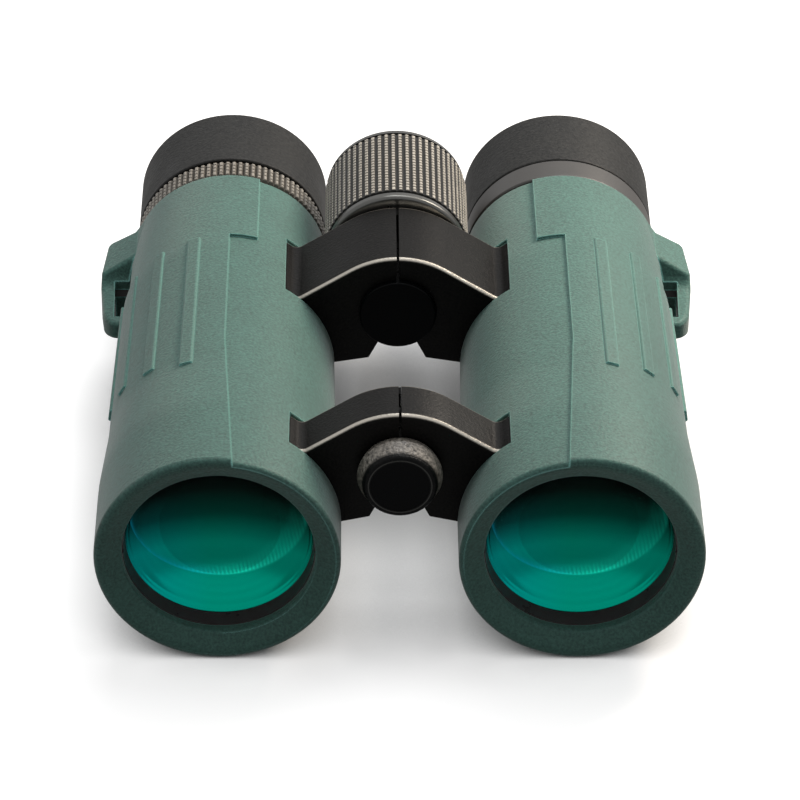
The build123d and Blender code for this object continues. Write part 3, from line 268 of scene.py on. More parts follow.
def grained(name, colour, spread, grain, cloud, bump, rough, rough_spread, clouds=0.4, **sockets):
    """A moulded, cast or coated surface: fine grain that catches light, and faint wide clouds of tone."""
    material = surface(name, **sockets)
    tree, shader = material.node_tree, shader_of(material)
    place = add(tree, "ShaderNodeTexCoord").outputs["Object"]
    fine = add(
        tree, "ShaderNodeTexNoise", {"Vector": place, "Scale": per_mm(grain), "Detail": 2.0, "Roughness": 0.6}
    )
    wide = add(
        tree, "ShaderNodeTexNoise", {"Vector": place, "Scale": per_mm(cloud), "Detail": 3.0, "Roughness": 0.55}
    )
    both = add(
        tree, "ShaderNodeMix", {0: clouds, 2: fine.outputs["Fac"], 3: wide.outputs["Fac"]}, data_type="FLOAT"
    )
    tone = add(tree, "ShaderNodeValToRGB", {"Fac": both.outputs[0]})
    tone.color_ramp.elements[0].position = 0.3
    tone.color_ramp.elements[0].color = shaded(colour, 1 - spread)
    tone.color_ramp.elements[1].position = 0.7
    tone.color_ramp.elements[1].color = shaded(colour, 1 + spread)
    gloss = add(
        tree,
        "ShaderNodeMapRange",
        {
            "Value": wide.outputs["Fac"],
            "From Min": 0.3,
            "From Max": 0.7,
            "To Min": rough - rough_spread,
            "To Max": rough + rough_spread,
        },
    )
    relief = add(
        tree, "ShaderNodeBump", {"Height": fine.outputs["Fac"], "Strength": bump, "Distance": grain * MM * 0.3}
    )
    tree.links.new(tone.outputs["Color"], shader.inputs["Base Color"])
    tree.links.new(gloss.outputs["Result"], shader.inputs["Roughness"])
    tree.links.new(relief.outputs["Normal"], shader.inputs["Normal"])
    return material


def knurled(name, node, top, groove_shade, rough):
    """A knurled finish with painted shade: dark down in the grooves of a turned piece, lighter on the tops of its
    scales.
    """
    low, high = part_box(node)
    centre = (low + high) / 2
    radius = (high.x - low.x) / 2
    material = grained(
        name,
        top,
        spread=0.2,
        grain=0.4,
        cloud=7,
        bump=0.1,
        rough=rough,
        rough_spread=0.04,
        Specular_IOR_Level=0.2,
    )
    tree, shader = material.node_tree, shader_of(material)
    pale_part = shader.inputs["Base Color"].links[0].from_socket
    place = add(tree, "ShaderNodeTexCoord").outputs["Object"]
    spoke = add(tree, "ShaderNodeVectorMath", {0: place, 1: -centre}, operation="ADD")
    spoke = add(tree, "ShaderNodeVectorMath", {0: spoke.outputs["Vector"], 1: (1, 0, 1)}, operation="MULTIPLY")
    height = add(tree, "ShaderNodeVectorMath", {0: spoke.outputs["Vector"]}, operation="LENGTH")
    notch = radius - sizes().scale_height
    rise = add(
        tree,
        "ShaderNodeMapRange",
        {
            "Value": height.outputs["Value"],
            "From Min": notch + GROOVE_MARGIN,
            "From Max": radius - CREST_MARGIN,
        },
    )
    # Painted shade: the grooves take the dark groove colour, the tops the lighter colour.
    tone = add(tree, "ShaderNodeMix", {0: rise.outputs["Result"], 6: groove_shade, 7: pale_part}, data_type="RGBA")
    tree.links.new(tone.outputs[2], shader.inputs["Base Color"])
    return material


def paint(finishes):
    """Gives every CAD node of a slot its finish."""
    for node in frame["nodes"].values():
        for slot in node.material_slots:
            if slot.material and slot.material.name in finishes:
                slot.material = finishes[slot.material.name]


def turned(profile, centre, steps):
    """A closed mesh spun about an axis along y from (radius, y) corners."""
    shape = bmesh.new()
    corners = [shape.verts.new((centre.x, y, centre.z + r)) for r, y in profile]
    for i, corner in enumerate(corners):
        shape.edges.new((corners[i - 1], corner))
    bmesh.ops.spin(
        shape,
        geom=shape.verts[:] + shape.edges[:],
        cent=centre,
        axis=(0, 1, 0),
        angle=2 * math.pi,
        steps=steps,
        use_merge=True,
    )
    bmesh.ops.remove_doubles(shape, verts=shape.verts, dist=0.001 * MM)
    bmesh.ops.recalc_face_normals(shape, faces=shape.faces)
    return shape


def outward(shape, centre, radius):
    """Faces that look away from the axis at about a radius or beyond it."""
    faces = []
    for face in shape.faces:
        spoke = face.calc_center_median() - centre
        if math.hypot(spoke.x, spoke.z) > radius and abs(face.normal.y) < 0.5:
            faces.append(face)
    return faces


def finished(name, shape):
    """The mesh of a shape that needs no more work."""
    mesh = bpy.data.meshes.new(name)
    shape.to_mesh(mesh)
    shape.free()
    return mesh


def knurled_band(name, node, wall, columns, row):
    """A ring with columns of small overlapping scales, where a CAD ring is."""
    low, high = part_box(node)
    centre = (low + high) / 2
    top = (high.x - low.x) / 2
    foot = top - sizes().knurl_height - sizes().scale_height
    edge = BAND_EDGE
    profile = [(top - wall, low.y), (foot, low.y), (foot, low.y + edge), (foot, high.y - edge), (foot, high.y)]
    shape = turned(profile + [(top - wall, high.y)], centre, columns)
    outside = outward(shape, centre, foot - wall / 4)
    band = [f for f in outside if abs(f.calc_center_median().y - centre.y) < edge]
    bmesh.ops.inset_individual(
        shape, faces=band, thickness=sizes().knurl_groove / 2, depth=sizes().knurl_height, use_even_offset=True
    )
    rows = round((high.y - low.y - 2 * edge) / row)
    long_edges = {e for f in band for e in f.edges if abs((e.verts[0].co - e.verts[1].co).y) > row}
    bmesh.ops.subdivide_edges(shape, edges=list(long_edges), cuts=rows - 1, use_grid_fill=True)
    crest = foot + sizes().knurl_height * 0.9
    pitch = 2 * math.pi / columns
    for vert in shape.verts:
        spoke = vert.co - centre
        inside = abs(spoke.y) < (high.y - low.y) / 2 - edge - row * 0.75
        if math.hypot(spoke.x, spoke.z) > crest and inside:
            turn = math.floor(math.atan2(spoke.x, spoke.z) / pitch)
            vert.co.y += row / 4 if turn % 2 else -row / 4
    bmesh.ops.inset_individual(
        shape,
        faces=outward(shape, centre, crest),
        thickness=sizes().scale_notch / 2,
        depth=sizes().scale_height,
        use_even_offset=True,
    )
    return place_piece(name, finished(name, shape), node)


def place_piece(name, mesh, node):
    """Puts a mesh in the scene in the place of a CAD node."""
    piece = bpy.data.objects.new(name, mesh)
    bpy.context.scene.collection.objects.link(piece)
    cad = frame["nodes"][node]
    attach(piece, cad["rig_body"])
    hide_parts(node)
    return piece


class BINOCULARS_OT_armour(bpy.types.Operator):
    """Green moulded rubber on both barrels"""

    bl_idname = "binoculars.armour"
    bl_label = "Rubber armour"

    def execute(self, context):
        # Rubber from a spark-eroded mould: an even fine grain, no gloss, a soft pale sheen on the curves.
        rubber = grained(
            "moulded_green_rubber",
            colours().armour,
            spread=0.4,
            grain=0.6,
            cloud=14,
            bump=0.7,
            rough=0.5,
            rough_spread=0.04,
            clouds=0.18,
            Specular_IOR_Level=0.18,
            Sheen_Weight=0.3,
            Sheen_Roughness=0.5,
        )
        self.paint_edge_highlights(rubber)
        paint({"armour_rubber": rubber})
        return {"FINISHED"}

    def paint_edge_highlights(self, rubber):
        """Painted highlight: the edges of the panels and ribs are painted paler than the rest, as where light
        catches them.
        """
        tree, shader = rubber.node_tree, shader_of(rubber)
        base_tone = shader.inputs["Base Color"].links[0].from_socket
        round_edge = add(tree, "ShaderNodeBevel", {"Radius": sizes().edge_highlight_width}, samples=4)
        plain = add(tree, "ShaderNodeNewGeometry").outputs["Normal"]
        turn = add(
            tree, "ShaderNodeVectorMath", {0: round_edge.outputs["Normal"], 1: plain}, operation="DOT_PRODUCT"
        )
        edge_highlight = add(
            tree,
            "ShaderNodeMapRange",
            {"Value": turn.outputs["Value"], "From Min": 0.995, "From Max": 0.93, "To Max": 0.9},
        )
        # Ends that face forward get less light, so the painted highlight is made stronger there.
        ahead = add(tree, "ShaderNodeSeparateXYZ", {"Vector": plain}).outputs["Y"]
        front = add(tree, "ShaderNodeMapRange", {"Value": ahead, "From Min": -0.4, "From Max": -0.9})
        pale = add(
            tree,
            "ShaderNodeMix",
            {0: front.outputs["Result"], 6: shaded(colours().armour, 2.3), 7: shaded(colours().armour, 9.0)},
            data_type="RGBA",
        )
        highlighted = add(
            tree, "ShaderNodeMix", {0: edge_highlight.outputs["Result"], 6: base_tone, 7: pale.outputs[2]}, data_type="RGBA"
        )
        tree.links.new(highlighted.outputs[2], shader.inputs["Base Color"])


class BINOCULARS_OT_castings(bpy.types.Operator):
    """Black powder coat on the castings with their bridges, and the metal of the strap lugs"""

    bl_idname = "binoculars.castings"
    bl_label = "Bridge castings"

    def execute(self, context):
        # Powder-coated magnesium: nearly black, a tight grain that spreads the light, and a painted highlight on
        # the rounded edges.
        coat = grained(
            "powder_coated_alloy",
            colours().bridge,
            spread=0.9,
            grain=0.6,
            cloud=10,
            bump=0.6,
            rough=0.42,
            rough_spread=0.03,
            clouds=0.2,
            Specular_IOR_Level=0.09,
        )
        self.paint_bevel_highlights(coat)
        # Blackened steel: dark, with a faint satin light.
        steel = grained(
            "blackened_steel_bracket",
            linear("#1E1C1A"),
            spread=0.06,
            grain=0.3,
            cloud=6,
            bump=0.1,
            rough=0.4,
            rough_spread=0.05,
        )
        paint({"bridge_alloy": coat, "lug_steel": steel})
        # Moulded black strip, a painted shade: dull, so the slit stays dark.
        slit_shade_coat = grained(
            "moulded_black_strip",
            linear("#050505"),
            spread=0.1,
            grain=0.3,
            cloud=5,
            bump=0.1,
            rough=0.6,
            rough_spread=0.04,
            Specular_IOR_Level=0.05,
        )
        self.shade_slit("front_slit_strip", "tripod_socket", slit_shade_coat)
        self.shade_slit("rear_slit_strip", "hinge_tube", slit_shade_coat)
        return {"FINISHED"}

    def shade_slit(self, name, pin, slit_shade_coat):
        """A thin strip on the right half that closes the back of the slit over a hinge pin: painted shade that
        keeps the slit dark.
        """
        casting = frame["nodes"]["right_barrel_casting"]
        pin_low, pin_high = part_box(pin)
        corners = [v.co for v in casting.data.vertices if pin_low.y < v.co.y < pin_high.y]
        spine = [c for c in corners if abs(c.x) < SLIT_REACH]
        back = max(c.y for c in spine) - STRIP_SET_IN
        top = max(c.z for c in spine) - STRIP_SET_IN
        inner = max(c.x for c in spine if c.z > top - STRIP_SET_IN)
        strip = bmesh.new()
        bmesh.ops.create_cube(strip, size=1.0)
        bmesh.ops.scale(strip, vec=(STRIP_THICK, STRIP_LONG, STRIP_TALL), verts=strip.verts)
        centre = (inner + STRIP_STAND - STRIP_THICK / 2, back - STRIP_LONG / 2, top - STRIP_TALL / 2)
        bmesh.ops.translate(strip, vec=centre, verts=strip.verts)
        upper = [e for e in strip.edges if all(v.co.z > centre[2] for v in e.verts)]
        bmesh.ops.bevel(
            strip,
            geom=upper,
            offset=STRIP_ROUND,
            offset_type="OFFSET",
            segments=2,
            profile=0.5,
            affect="EDGES",
            material=-1,
        )
        bmesh.ops.recalc_face_normals(strip, faces=strip.faces)
        piece = bpy.data.objects.new(name, finished(name, strip))
        bpy.context.scene.collection.objects.link(piece)
        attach(piece, casting["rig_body"])
        piece.data.materials.append(slit_shade_coat)

    def paint_bevel_highlights(self, coat):
        """Painted highlight: a pale metallic colour along the rounded front and back edges that face up."""
        tree, shader = coat.node_tree, shader_of(coat)
        base_tone = shader.inputs["Base Color"].links[0].from_socket
        facing = add(tree, "ShaderNodeTexCoord").outputs["Normal"]
        parts = add(tree, "ShaderNodeSeparateXYZ", {"Vector": facing})
        lean = add(tree, "ShaderNodeMath", {0: parts.outputs["Y"]}, operation="ABSOLUTE")
        edge = add(tree, "ShaderNodeValToRGB", {"Fac": lean.outputs[0]})
        band = edge.color_ramp.elements
        band[0].color = band[1].color = linear(BLACK)
        for position, code in ((0.2, BLACK), (0.45, WHITE), (0.75, WHITE), (0.93, BLACK)):
            band.new(position).color = linear(code)
        above = add(tree, "ShaderNodeMapRange", {"Value": parts.outputs["Z"], "From Min": 0.1, "From Max": 0.4})
        pale_part = add(
            tree, "ShaderNodeMath", {0: edge.outputs["Color"], 1: above.outputs["Result"]}, operation="MULTIPLY"
        )
        # Painted highlight: these edges take a pale colour and turn metallic.
        highlighted = add(tree, "ShaderNodeMix", {0: pale_part.outputs[0], 6: base_tone, 7: linear("#A9A49B")}, data_type="RGBA")
        tree.links.new(highlighted.outputs[2], shader.inputs["Base Color"])
        tree.links.new(pale_part.outputs[0], shader.inputs["Metallic"])


class BINOCULARS_OT_objectives(bpy.types.Operator):
    """Coated lenses with their black retaining rings"""

    bl_idname = "binoculars.objectives"
    bl_label = "Objectives"

    def execute(self, context):
        # Crown glass under a coating that sends back hardly any light, so the eye looks through it.
        crown = surface(
            "coated_crown_glass",
            Base_Color=linear("#02100E"),
            Roughness=0.02,
            IOR=1.52,
            Specular_Tint=colours().coating,
            Alpha=0.1,
        )
        # Black anodised aluminium, painted a purple grey lighter than its own near black as a painted sheen in the
        # lip's shade; a soft glint below the lens.
        ring = grained(
            "black_anodised_ring",
            linear("#4A4043"),
            spread=0.2,
            grain=0.3,
            cloud=5,
            bump=0.12,
            rough=0.3,
            rough_spread=0.04,
            Specular_IOR_Level=0.5,
        )
        # Rubber seal: dull black.
        seal = grained(
            "seal_rubber_black",
            linear("#151515"),
            spread=0.1,
            grain=0.3,
            cloud=5,
            bump=0.1,
            rough=0.6,
            rough_spread=0.04,
        )
        paint({"objective_glass": crown, "ring_alloy": ring, "seal_rubber": seal})
        for side in ("right", "left"):
            self.make_dish(side)
        return {"FINISHED"}

    def make_dish(self, side):
        """The coated rear lens, seen as a deep green dish behind the clear front lens."""
        node = side + "_objective_rear_lens"
        low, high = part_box(node)
        centre = (low + high) / 2
        rim, front = (high.x - low.x) / 2, low.y - DISH_LEAD
        section = DISH_RIM_STEPS + DISH_HOLLOW + DISH_BACK
        shape = turned([(r * rim, front + depth * MM) for r, depth in section], centre, DISH_STEPS)
        for face in shape.faces:
            face.smooth = True
        name = side + "_objective_dish"
        dish = place_piece(name, finished(name, shape), node)
        dish.data.materials.append(self.coating(side, centre))

    def coating(self, side, centre):
        """Painted reflection and shade on the coating: bright below, dark under the lip, with the inner glass's
        edge painted as a shining arc.
        """
        material = surface("green_lens_coating_" + side, Metallic=1.0, Roughness=0.22)
        tree, shader = material.node_tree, shader_of(material)
        place = add(tree, "ShaderNodeTexCoord").outputs["Object"]
        spot = add(tree, "ShaderNodeMapping", {"Vector": place, "Location": -centre}).outputs["Vector"]
        parts = add(tree, "ShaderNodeSeparateXYZ", {"Vector": spot})
        rise = add(
            tree,
            "ShaderNodeMapRange",
            {"Value": parts.outputs["Z"], "From Min": COATING_FOOT * MM, "From Max": COATING_CREST * MM},
        )
        tint = add(tree, "ShaderNodeValToRGB", {"Fac": rise.outputs["Result"]})
        ramp = tint.color_ramp.elements
        ramp[0].color = colours().coating
        ramp[1].color = shaded(colours().coating, COATING_CREST_SHADE)
        for position, share in COATING_SHADES:
            ramp.new(position).color = shaded(colours().coating, share)
        # The painted reflection turns bluer towards -x from the lens's axis, as a coating does where it is seen
        # more from the side.
        aside = self.across(tree, parts, *BLUE_SPAN)
        bluer = add(
            tree,
            "ShaderNodeMix",
            {0: aside, 6: tint.outputs["Color"], 7: linear("#00C0FF")},
            data_type="RGBA",
            blend_type="SOFT_LIGHT",
        )
        # Polishing rings are thousandths of a millimetre wide, so they are drawn as coarse as they need to show.
        rings = add(
            tree,
            "ShaderNodeTexWave",
            {"Vector": spot, "Scale": per_mm(POLISH_RING), "Distortion": 0.4, "Detail": 2.0},
            wave_type="RINGS",
            rings_direction="Y",
        )
        faint = add(
            tree,
            "ShaderNodeMix",
            {0: POLISH_SHARE, 6: bluer.outputs[2], 7: rings.outputs["Color"]},
            data_type="RGBA",
            blend_type="MULTIPLY",
        )
        # The edge of the inner glass, a circle set higher than the lens, is painted as a highlight: a line that
        # widens to a glow.
        flat = add(tree, "ShaderNodeCombineXYZ", {"X": parts.outputs["X"], "Z": parts.outputs["Z"]})
        reach = add(
            tree,
            "ShaderNodeVectorMath",
            {0: flat.outputs["Vector"], 1: (0, 0, INNER_GLASS_RAISED)},
            operation="DISTANCE",
        )
        inside = add(tree, "ShaderNodeMath", {0: INNER_GLASS_R, 1: reach.outputs["Value"]}, operation="SUBTRACT")
        width = self.across(tree, parts, *ARC_WIDTH)
        share = add(tree, "ShaderNodeMath", {0: inside.outputs[0], 1: width}, operation="DIVIDE")
        spread = add(tree, "ShaderNodeMapRange", {"Value": share.outputs[0], "From Min": -0.2, "From Max": 1.0})
        line = add(tree, "ShaderNodeValToRGB", {"Fac": spread.outputs["Result"]})
        edge = line.color_ramp.elements
        edge[0].color = edge[1].color = linear(BLACK)
        for position, code in ARC_SECTION:
            edge.new(position).color = linear(code)
        turned_spot = add(tree, "ShaderNodeMapping", {"Vector": spot, "Rotation": (0, STREAK_TURN, 0)})
        streaks = add(
            tree,
            "ShaderNodeTexWave",
            {
                "Vector": turned_spot.outputs["Vector"],
                "Scale": per_mm(STREAK_WIDTH),
                "Distortion": 1.0,
                "Detail": 2.0,
            },
        )
        grating = add(tree, "ShaderNodeMapRange", {"Value": streaks.outputs["Fac"], "To Min": STREAK_LOW})
        glow = line.outputs["Color"]
        ends = [self.across(tree, parts, *span) for span in (ARC_RISE, ARC_FALL)]
        for factor in ends + [grating.outputs["Result"]]:
            glow = add(tree, "ShaderNodeMath", {0: glow, 1: factor}, operation="MULTIPLY").outputs[0]
        shine = add(
            tree,
            "ShaderNodeMix",
            {0: self.across(tree, parts, *ARC_HUE), 6: linear("#10B4DC"), 7: linear("#1CE6C4")},
            data_type="RGBA",
        )
        lit = add(tree, "ShaderNodeMix", {0: glow, 6: faint.outputs[2], 7: shine.outputs[2]}, data_type="RGBA")
        tree.links.new(lit.outputs[2], shader.inputs["Base Color"])
        return material

    def across(self, tree, parts, start, end, low, high):
        """A value that changes from one x to another, both in mm from the lens's axis."""
        share = add(
            tree,
            "ShaderNodeMapRange",
            {
                "Value": parts.outputs["X"],
                "From Min": start * MM,
                "From Max": end * MM,
                "To Min": low,
                "To Max": high,
            },
        )
        return share.outputs["Result"]


class BINOCULARS_OT_eyepieces(bpy.types.Operator):
    """Eyecups, the plain ring on the left and the glass that the eye looks into"""

    bl_idname = "binoculars.eyepieces"
    bl_label = "Eyepieces"

    def execute(self, context):
        # Soft-touch rubber, polished mould: smooth and matt, with a wide pale sheen.
        cup = grained(
            "soft_eyecup_rubber",
            colours().eyecup,
            spread=0.8,
            grain=0.8,
            cloud=8,
            bump=0.6,
            rough=0.5,
            rough_spread=0.05,
            clouds=0.2,
            Specular_IOR_Level=0.18,
        )
        # Bead-blasted anodised aluminium: an even satin grey.
        ring = grained(
            "blasted_anodised_ring",
            colours().ring,
            spread=0.05,
            grain=0.35,
            cloud=9,
            bump=0.1,
            rough=0.42,
            rough_spread=0.04,
        )
        # Knurled and anodised aluminium: pale scales over grooves painted darker as shade.
        knurl = knurled("knurled_anodised_ring", "right_diopter_ring", colours().diopter, linear("#625E58"), 0.4)
        # Anodised tube: satin black, in sight when an eyecup is up.
        alloy = grained(
            "black_anodised_tube",
            linear("#202020"),
            spread=0.1,
            grain=0.4,
            cloud=8,
            bump=0.1,
            rough=0.4,
            rough_spread=0.05,
        )
        # Moulded acetal: a plain black, a little greasy.
        guide = grained(
            "moulded_black_acetal",
            linear("#232323"),
            spread=0.08,
            grain=0.5,
            cloud=9,
            bump=0.08,
            rough=0.5,
            rough_spread=0.05,
        )
        # Coated eye lens: clear, with a thin reflection.
        eye = surface("coated_eye_glass", Roughness=0.0, IOR=1.6, Transmission_Weight=1.0)
        paint({"eyecup_rubber": cup, "trim_ring": ring, "diopter_ring": knurl})
        paint({"eyepiece_alloy": alloy, "guide_plastic": guide, "eye_glass": eye})
        return {"FINISHED"}


class BINOCULARS_OT_diopter(bpy.types.Operator):
    """Knurled diopter ring on the right eyepiece"""

    bl_idname = "binoculars.diopter"
    bl_label = "Diopter ring"

    def execute(self, context):
        ring = knurled_band(
            "diopter_ring_knurled",
            "right_diopter_ring",
            DIOPTER_WALL,
            sizes().diopter_columns,
            sizes().diopter_row,
        )
        ring.data.materials.append(bpy.data.materials["knurled_anodised_ring"])
        return {"FINISHED"}


class BINOCULARS_OT_wheel(bpy.types.Operator):
    """Focus wheel with its knurled rubber grip"""

    bl_idname = "binoculars.wheel"
    bl_label = "Focus wheel"

    def execute(self, context):
        # Moulded rubber sleeve of small scales: their tops painted pale as a highlight on dark grey rubber, the
        # grooves painted dark as shade.
        rubber = knurled("knurled_wheel_rubber", "focus_wheel_grip", colours().grip, linear("#121211"), 0.4)
        # Turned and anodised aluminium: satin, bright on the lips.
        alloy = grained(
            "turned_anodised_wheel",
            colours().wheel,
            spread=0.05,
            grain=0.3,
            cloud=8,
            bump=0.08,
            rough=0.3,
            rough_spread=0.04,
            Metallic=0.8,
        )
        grip = knurled_band(
            "focus_wheel_scales", "focus_wheel_grip", WHEEL_WALL, sizes().wheel_columns, sizes().wheel_row
        )
        grip.data.materials.append(rubber)
        # Moulded end cap: satin black.
        cap = grained(
            "wheel_end_cap_black",
            linear("#242424"),
            spread=0.08,
            grain=0.4,
            cloud=8,
            bump=0.1,
            rough=0.45,
            rough_spread=0.04,
        )
        paint({"wheel_alloy": alloy, "wheel_cap": cap})
        return {"FINISHED"}


class BINOCULARS_OT_hinge(bpy.types.Operator):
    """Boss of the rear bridge and the cap over the tripod socket"""

    bl_idname = "binoculars.hinge"
    bl_label = "Hinge and tripod cap"

    def execute(self, context):
        # Moulded plastic with a rough grain for the fingers; its pale grey side is a painted highlight on dark
        # plastic.
        cap = grained(
            "grained_cap_plastic",
            colours().cap,
            spread=0.9,
            grain=0.8,
            cloud=6,
            bump=1.0,
            rough=0.42,
            rough_spread=0.06,
            clouds=0.1,
        )
        self.blacken_face(cap)
        # Lacquered disc: deep black, hardly any light on it.
        disc = grained(
            "black_cap_disc",
            linear("#060708"),
            spread=0.1,
            grain=0.3,
            cloud=4,
            bump=0.05,
            rough=0.26,
            rough_spread=0.03,
            Specular_IOR_Level=0.06,
        )
        # Lacquered plug in the hub: deep black as well.
        plug = grained(
            "black_hub_plug",
            linear("#060708"),
            spread=0.1,
            grain=0.4,
            cloud=5,
            bump=0.1,
            rough=0.28,
            rough_spread=0.03,
            Specular_IOR_Level=0.04,
        )
        paint({"cap_plastic": cap, "cap_disc": disc, "hub_plug": plug})
        return {"FINISHED"}

    def blacken_face(self, cap):
        """The cap's face is painted black up to its rounded edge, partly its own black and partly painted shade on
        that edge.
        """
        low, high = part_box("tripod_cap")
        tree, shader = cap.node_tree, shader_of(cap)
        side = shader.inputs["Base Color"].links[0].from_socket
        place = add(tree, "ShaderNodeTexCoord").outputs["Object"]
        parts = add(tree, "ShaderNodeSeparateXYZ", {"Vector": place})
        back = add(
            tree,
            "ShaderNodeMapRange",
            {"Value": parts.outputs["Y"], "From Min": low.y + CAP_FACE_END, "From Max": low.y + CAP_SIDE_START},
        )
        centre = (low + high) / 2
        spoke = add(tree, "ShaderNodeCombineXYZ", {"X": parts.outputs["X"], "Z": parts.outputs["Z"]})
        reach = add(
            tree,
            "ShaderNodeVectorMath",
            {0: spoke.outputs["Vector"], 1: (centre.x, 0, centre.z)},
            operation="DISTANCE",
        )
        # Painted highlight: a thin pale line frames the disc, standing for light on its edge.
        disc_low, disc_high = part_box("tripod_cap_disc")
        highlight_radius = (disc_high.x - disc_low.x) / 2 + DISC_HIGHLIGHT_OUT
        disc_highlight = add(
            tree, "ShaderNodeMath", {0: reach.outputs["Value"], 1: highlight_radius, 2: DISC_HIGHLIGHT_HALF}, operation="COMPARE"
        )
        face = add(
            tree,
            "ShaderNodeMix",
            {0: disc_highlight.outputs[0], 6: linear("#070808"), 7: linear("#4C4C4A")},
            data_type="RGBA",
        )
        tone = add(
            tree, "ShaderNodeMix", {0: back.outputs["Result"], 6: face.outputs[2], 7: side}, data_type="RGBA"
        )
        tree.links.new(tone.outputs[2], shader.inputs["Base Color"])
        shine = add(tree, "ShaderNodeMapRange", {"Value": back.outputs["Result"], "To Min": 0.1, "To Max": 0.5})
        tree.links.new(shine.outputs["Result"], shader.inputs["Specular IOR Level"])


class BINOCULARS_OT_works(bpy.types.Operator):
    """Finishes of the works inside"""

    bl_idname = "binoculars.works"
    bl_label = "Inner works"

    def execute(self, context):
        # Ground steel: bright and even.
        steel = grained(
            "ground_hinge_steel",
            linear("#8E8D8B"),
            spread=0.05,
            grain=0.25,
            cloud=5,
            bump=0.06,
            rough=0.3,
            rough_spread=0.04,
            Metallic=1.0,
        )
        # Rolled spring steel: brighter still.
        spring = grained(
            "rolled_spring_steel",
            linear("#A09E9A"),
            spread=0.05,
            grain=0.3,
            cloud=5,
            bump=0.06,
            rough=0.28,
            rough_spread=0.04,
            Metallic=1.0,
        )
        # Turned brass: warm, in sight when the tripod cap is off.
        brass = grained(
            "turned_brass",
            linear("#B08D4E"),
            spread=0.06,
            grain=0.3,
            cloud=5,
            bump=0.06,
            rough=0.3,
            rough_spread=0.05,
            Metallic=1.0,
        )
        # Matt black paint that swallows stray light.
        cell = grained(
            "matt_black_cell",
            linear("#161616"),
            spread=0.1,
            grain=0.35,
            cloud=6,
            bump=0.1,
            rough=0.55,
            rough_spread=0.04,
        )
        # Acetal washers: dull black.
        washer = grained(
            "moulded_washer_acetal",
            linear("#1C1C1C"),
            spread=0.08,
            grain=0.4,
            cloud=6,
            bump=0.06,
            rough=0.5,
            rough_spread=0.04,
        )
        # Plain optical glass: clear.
        glass = surface("optical_glass", Roughness=0.0, IOR=1.57, Transmission_Weight=1.0)
        paint({"hinge_steel": steel, "spring_steel": spring, "socket_brass": brass})
        paint({"cell_alloy": cell, "washer_plastic": washer, "inner_glass": glass, "prism_glass": glass})
        return {"FINISHED"}


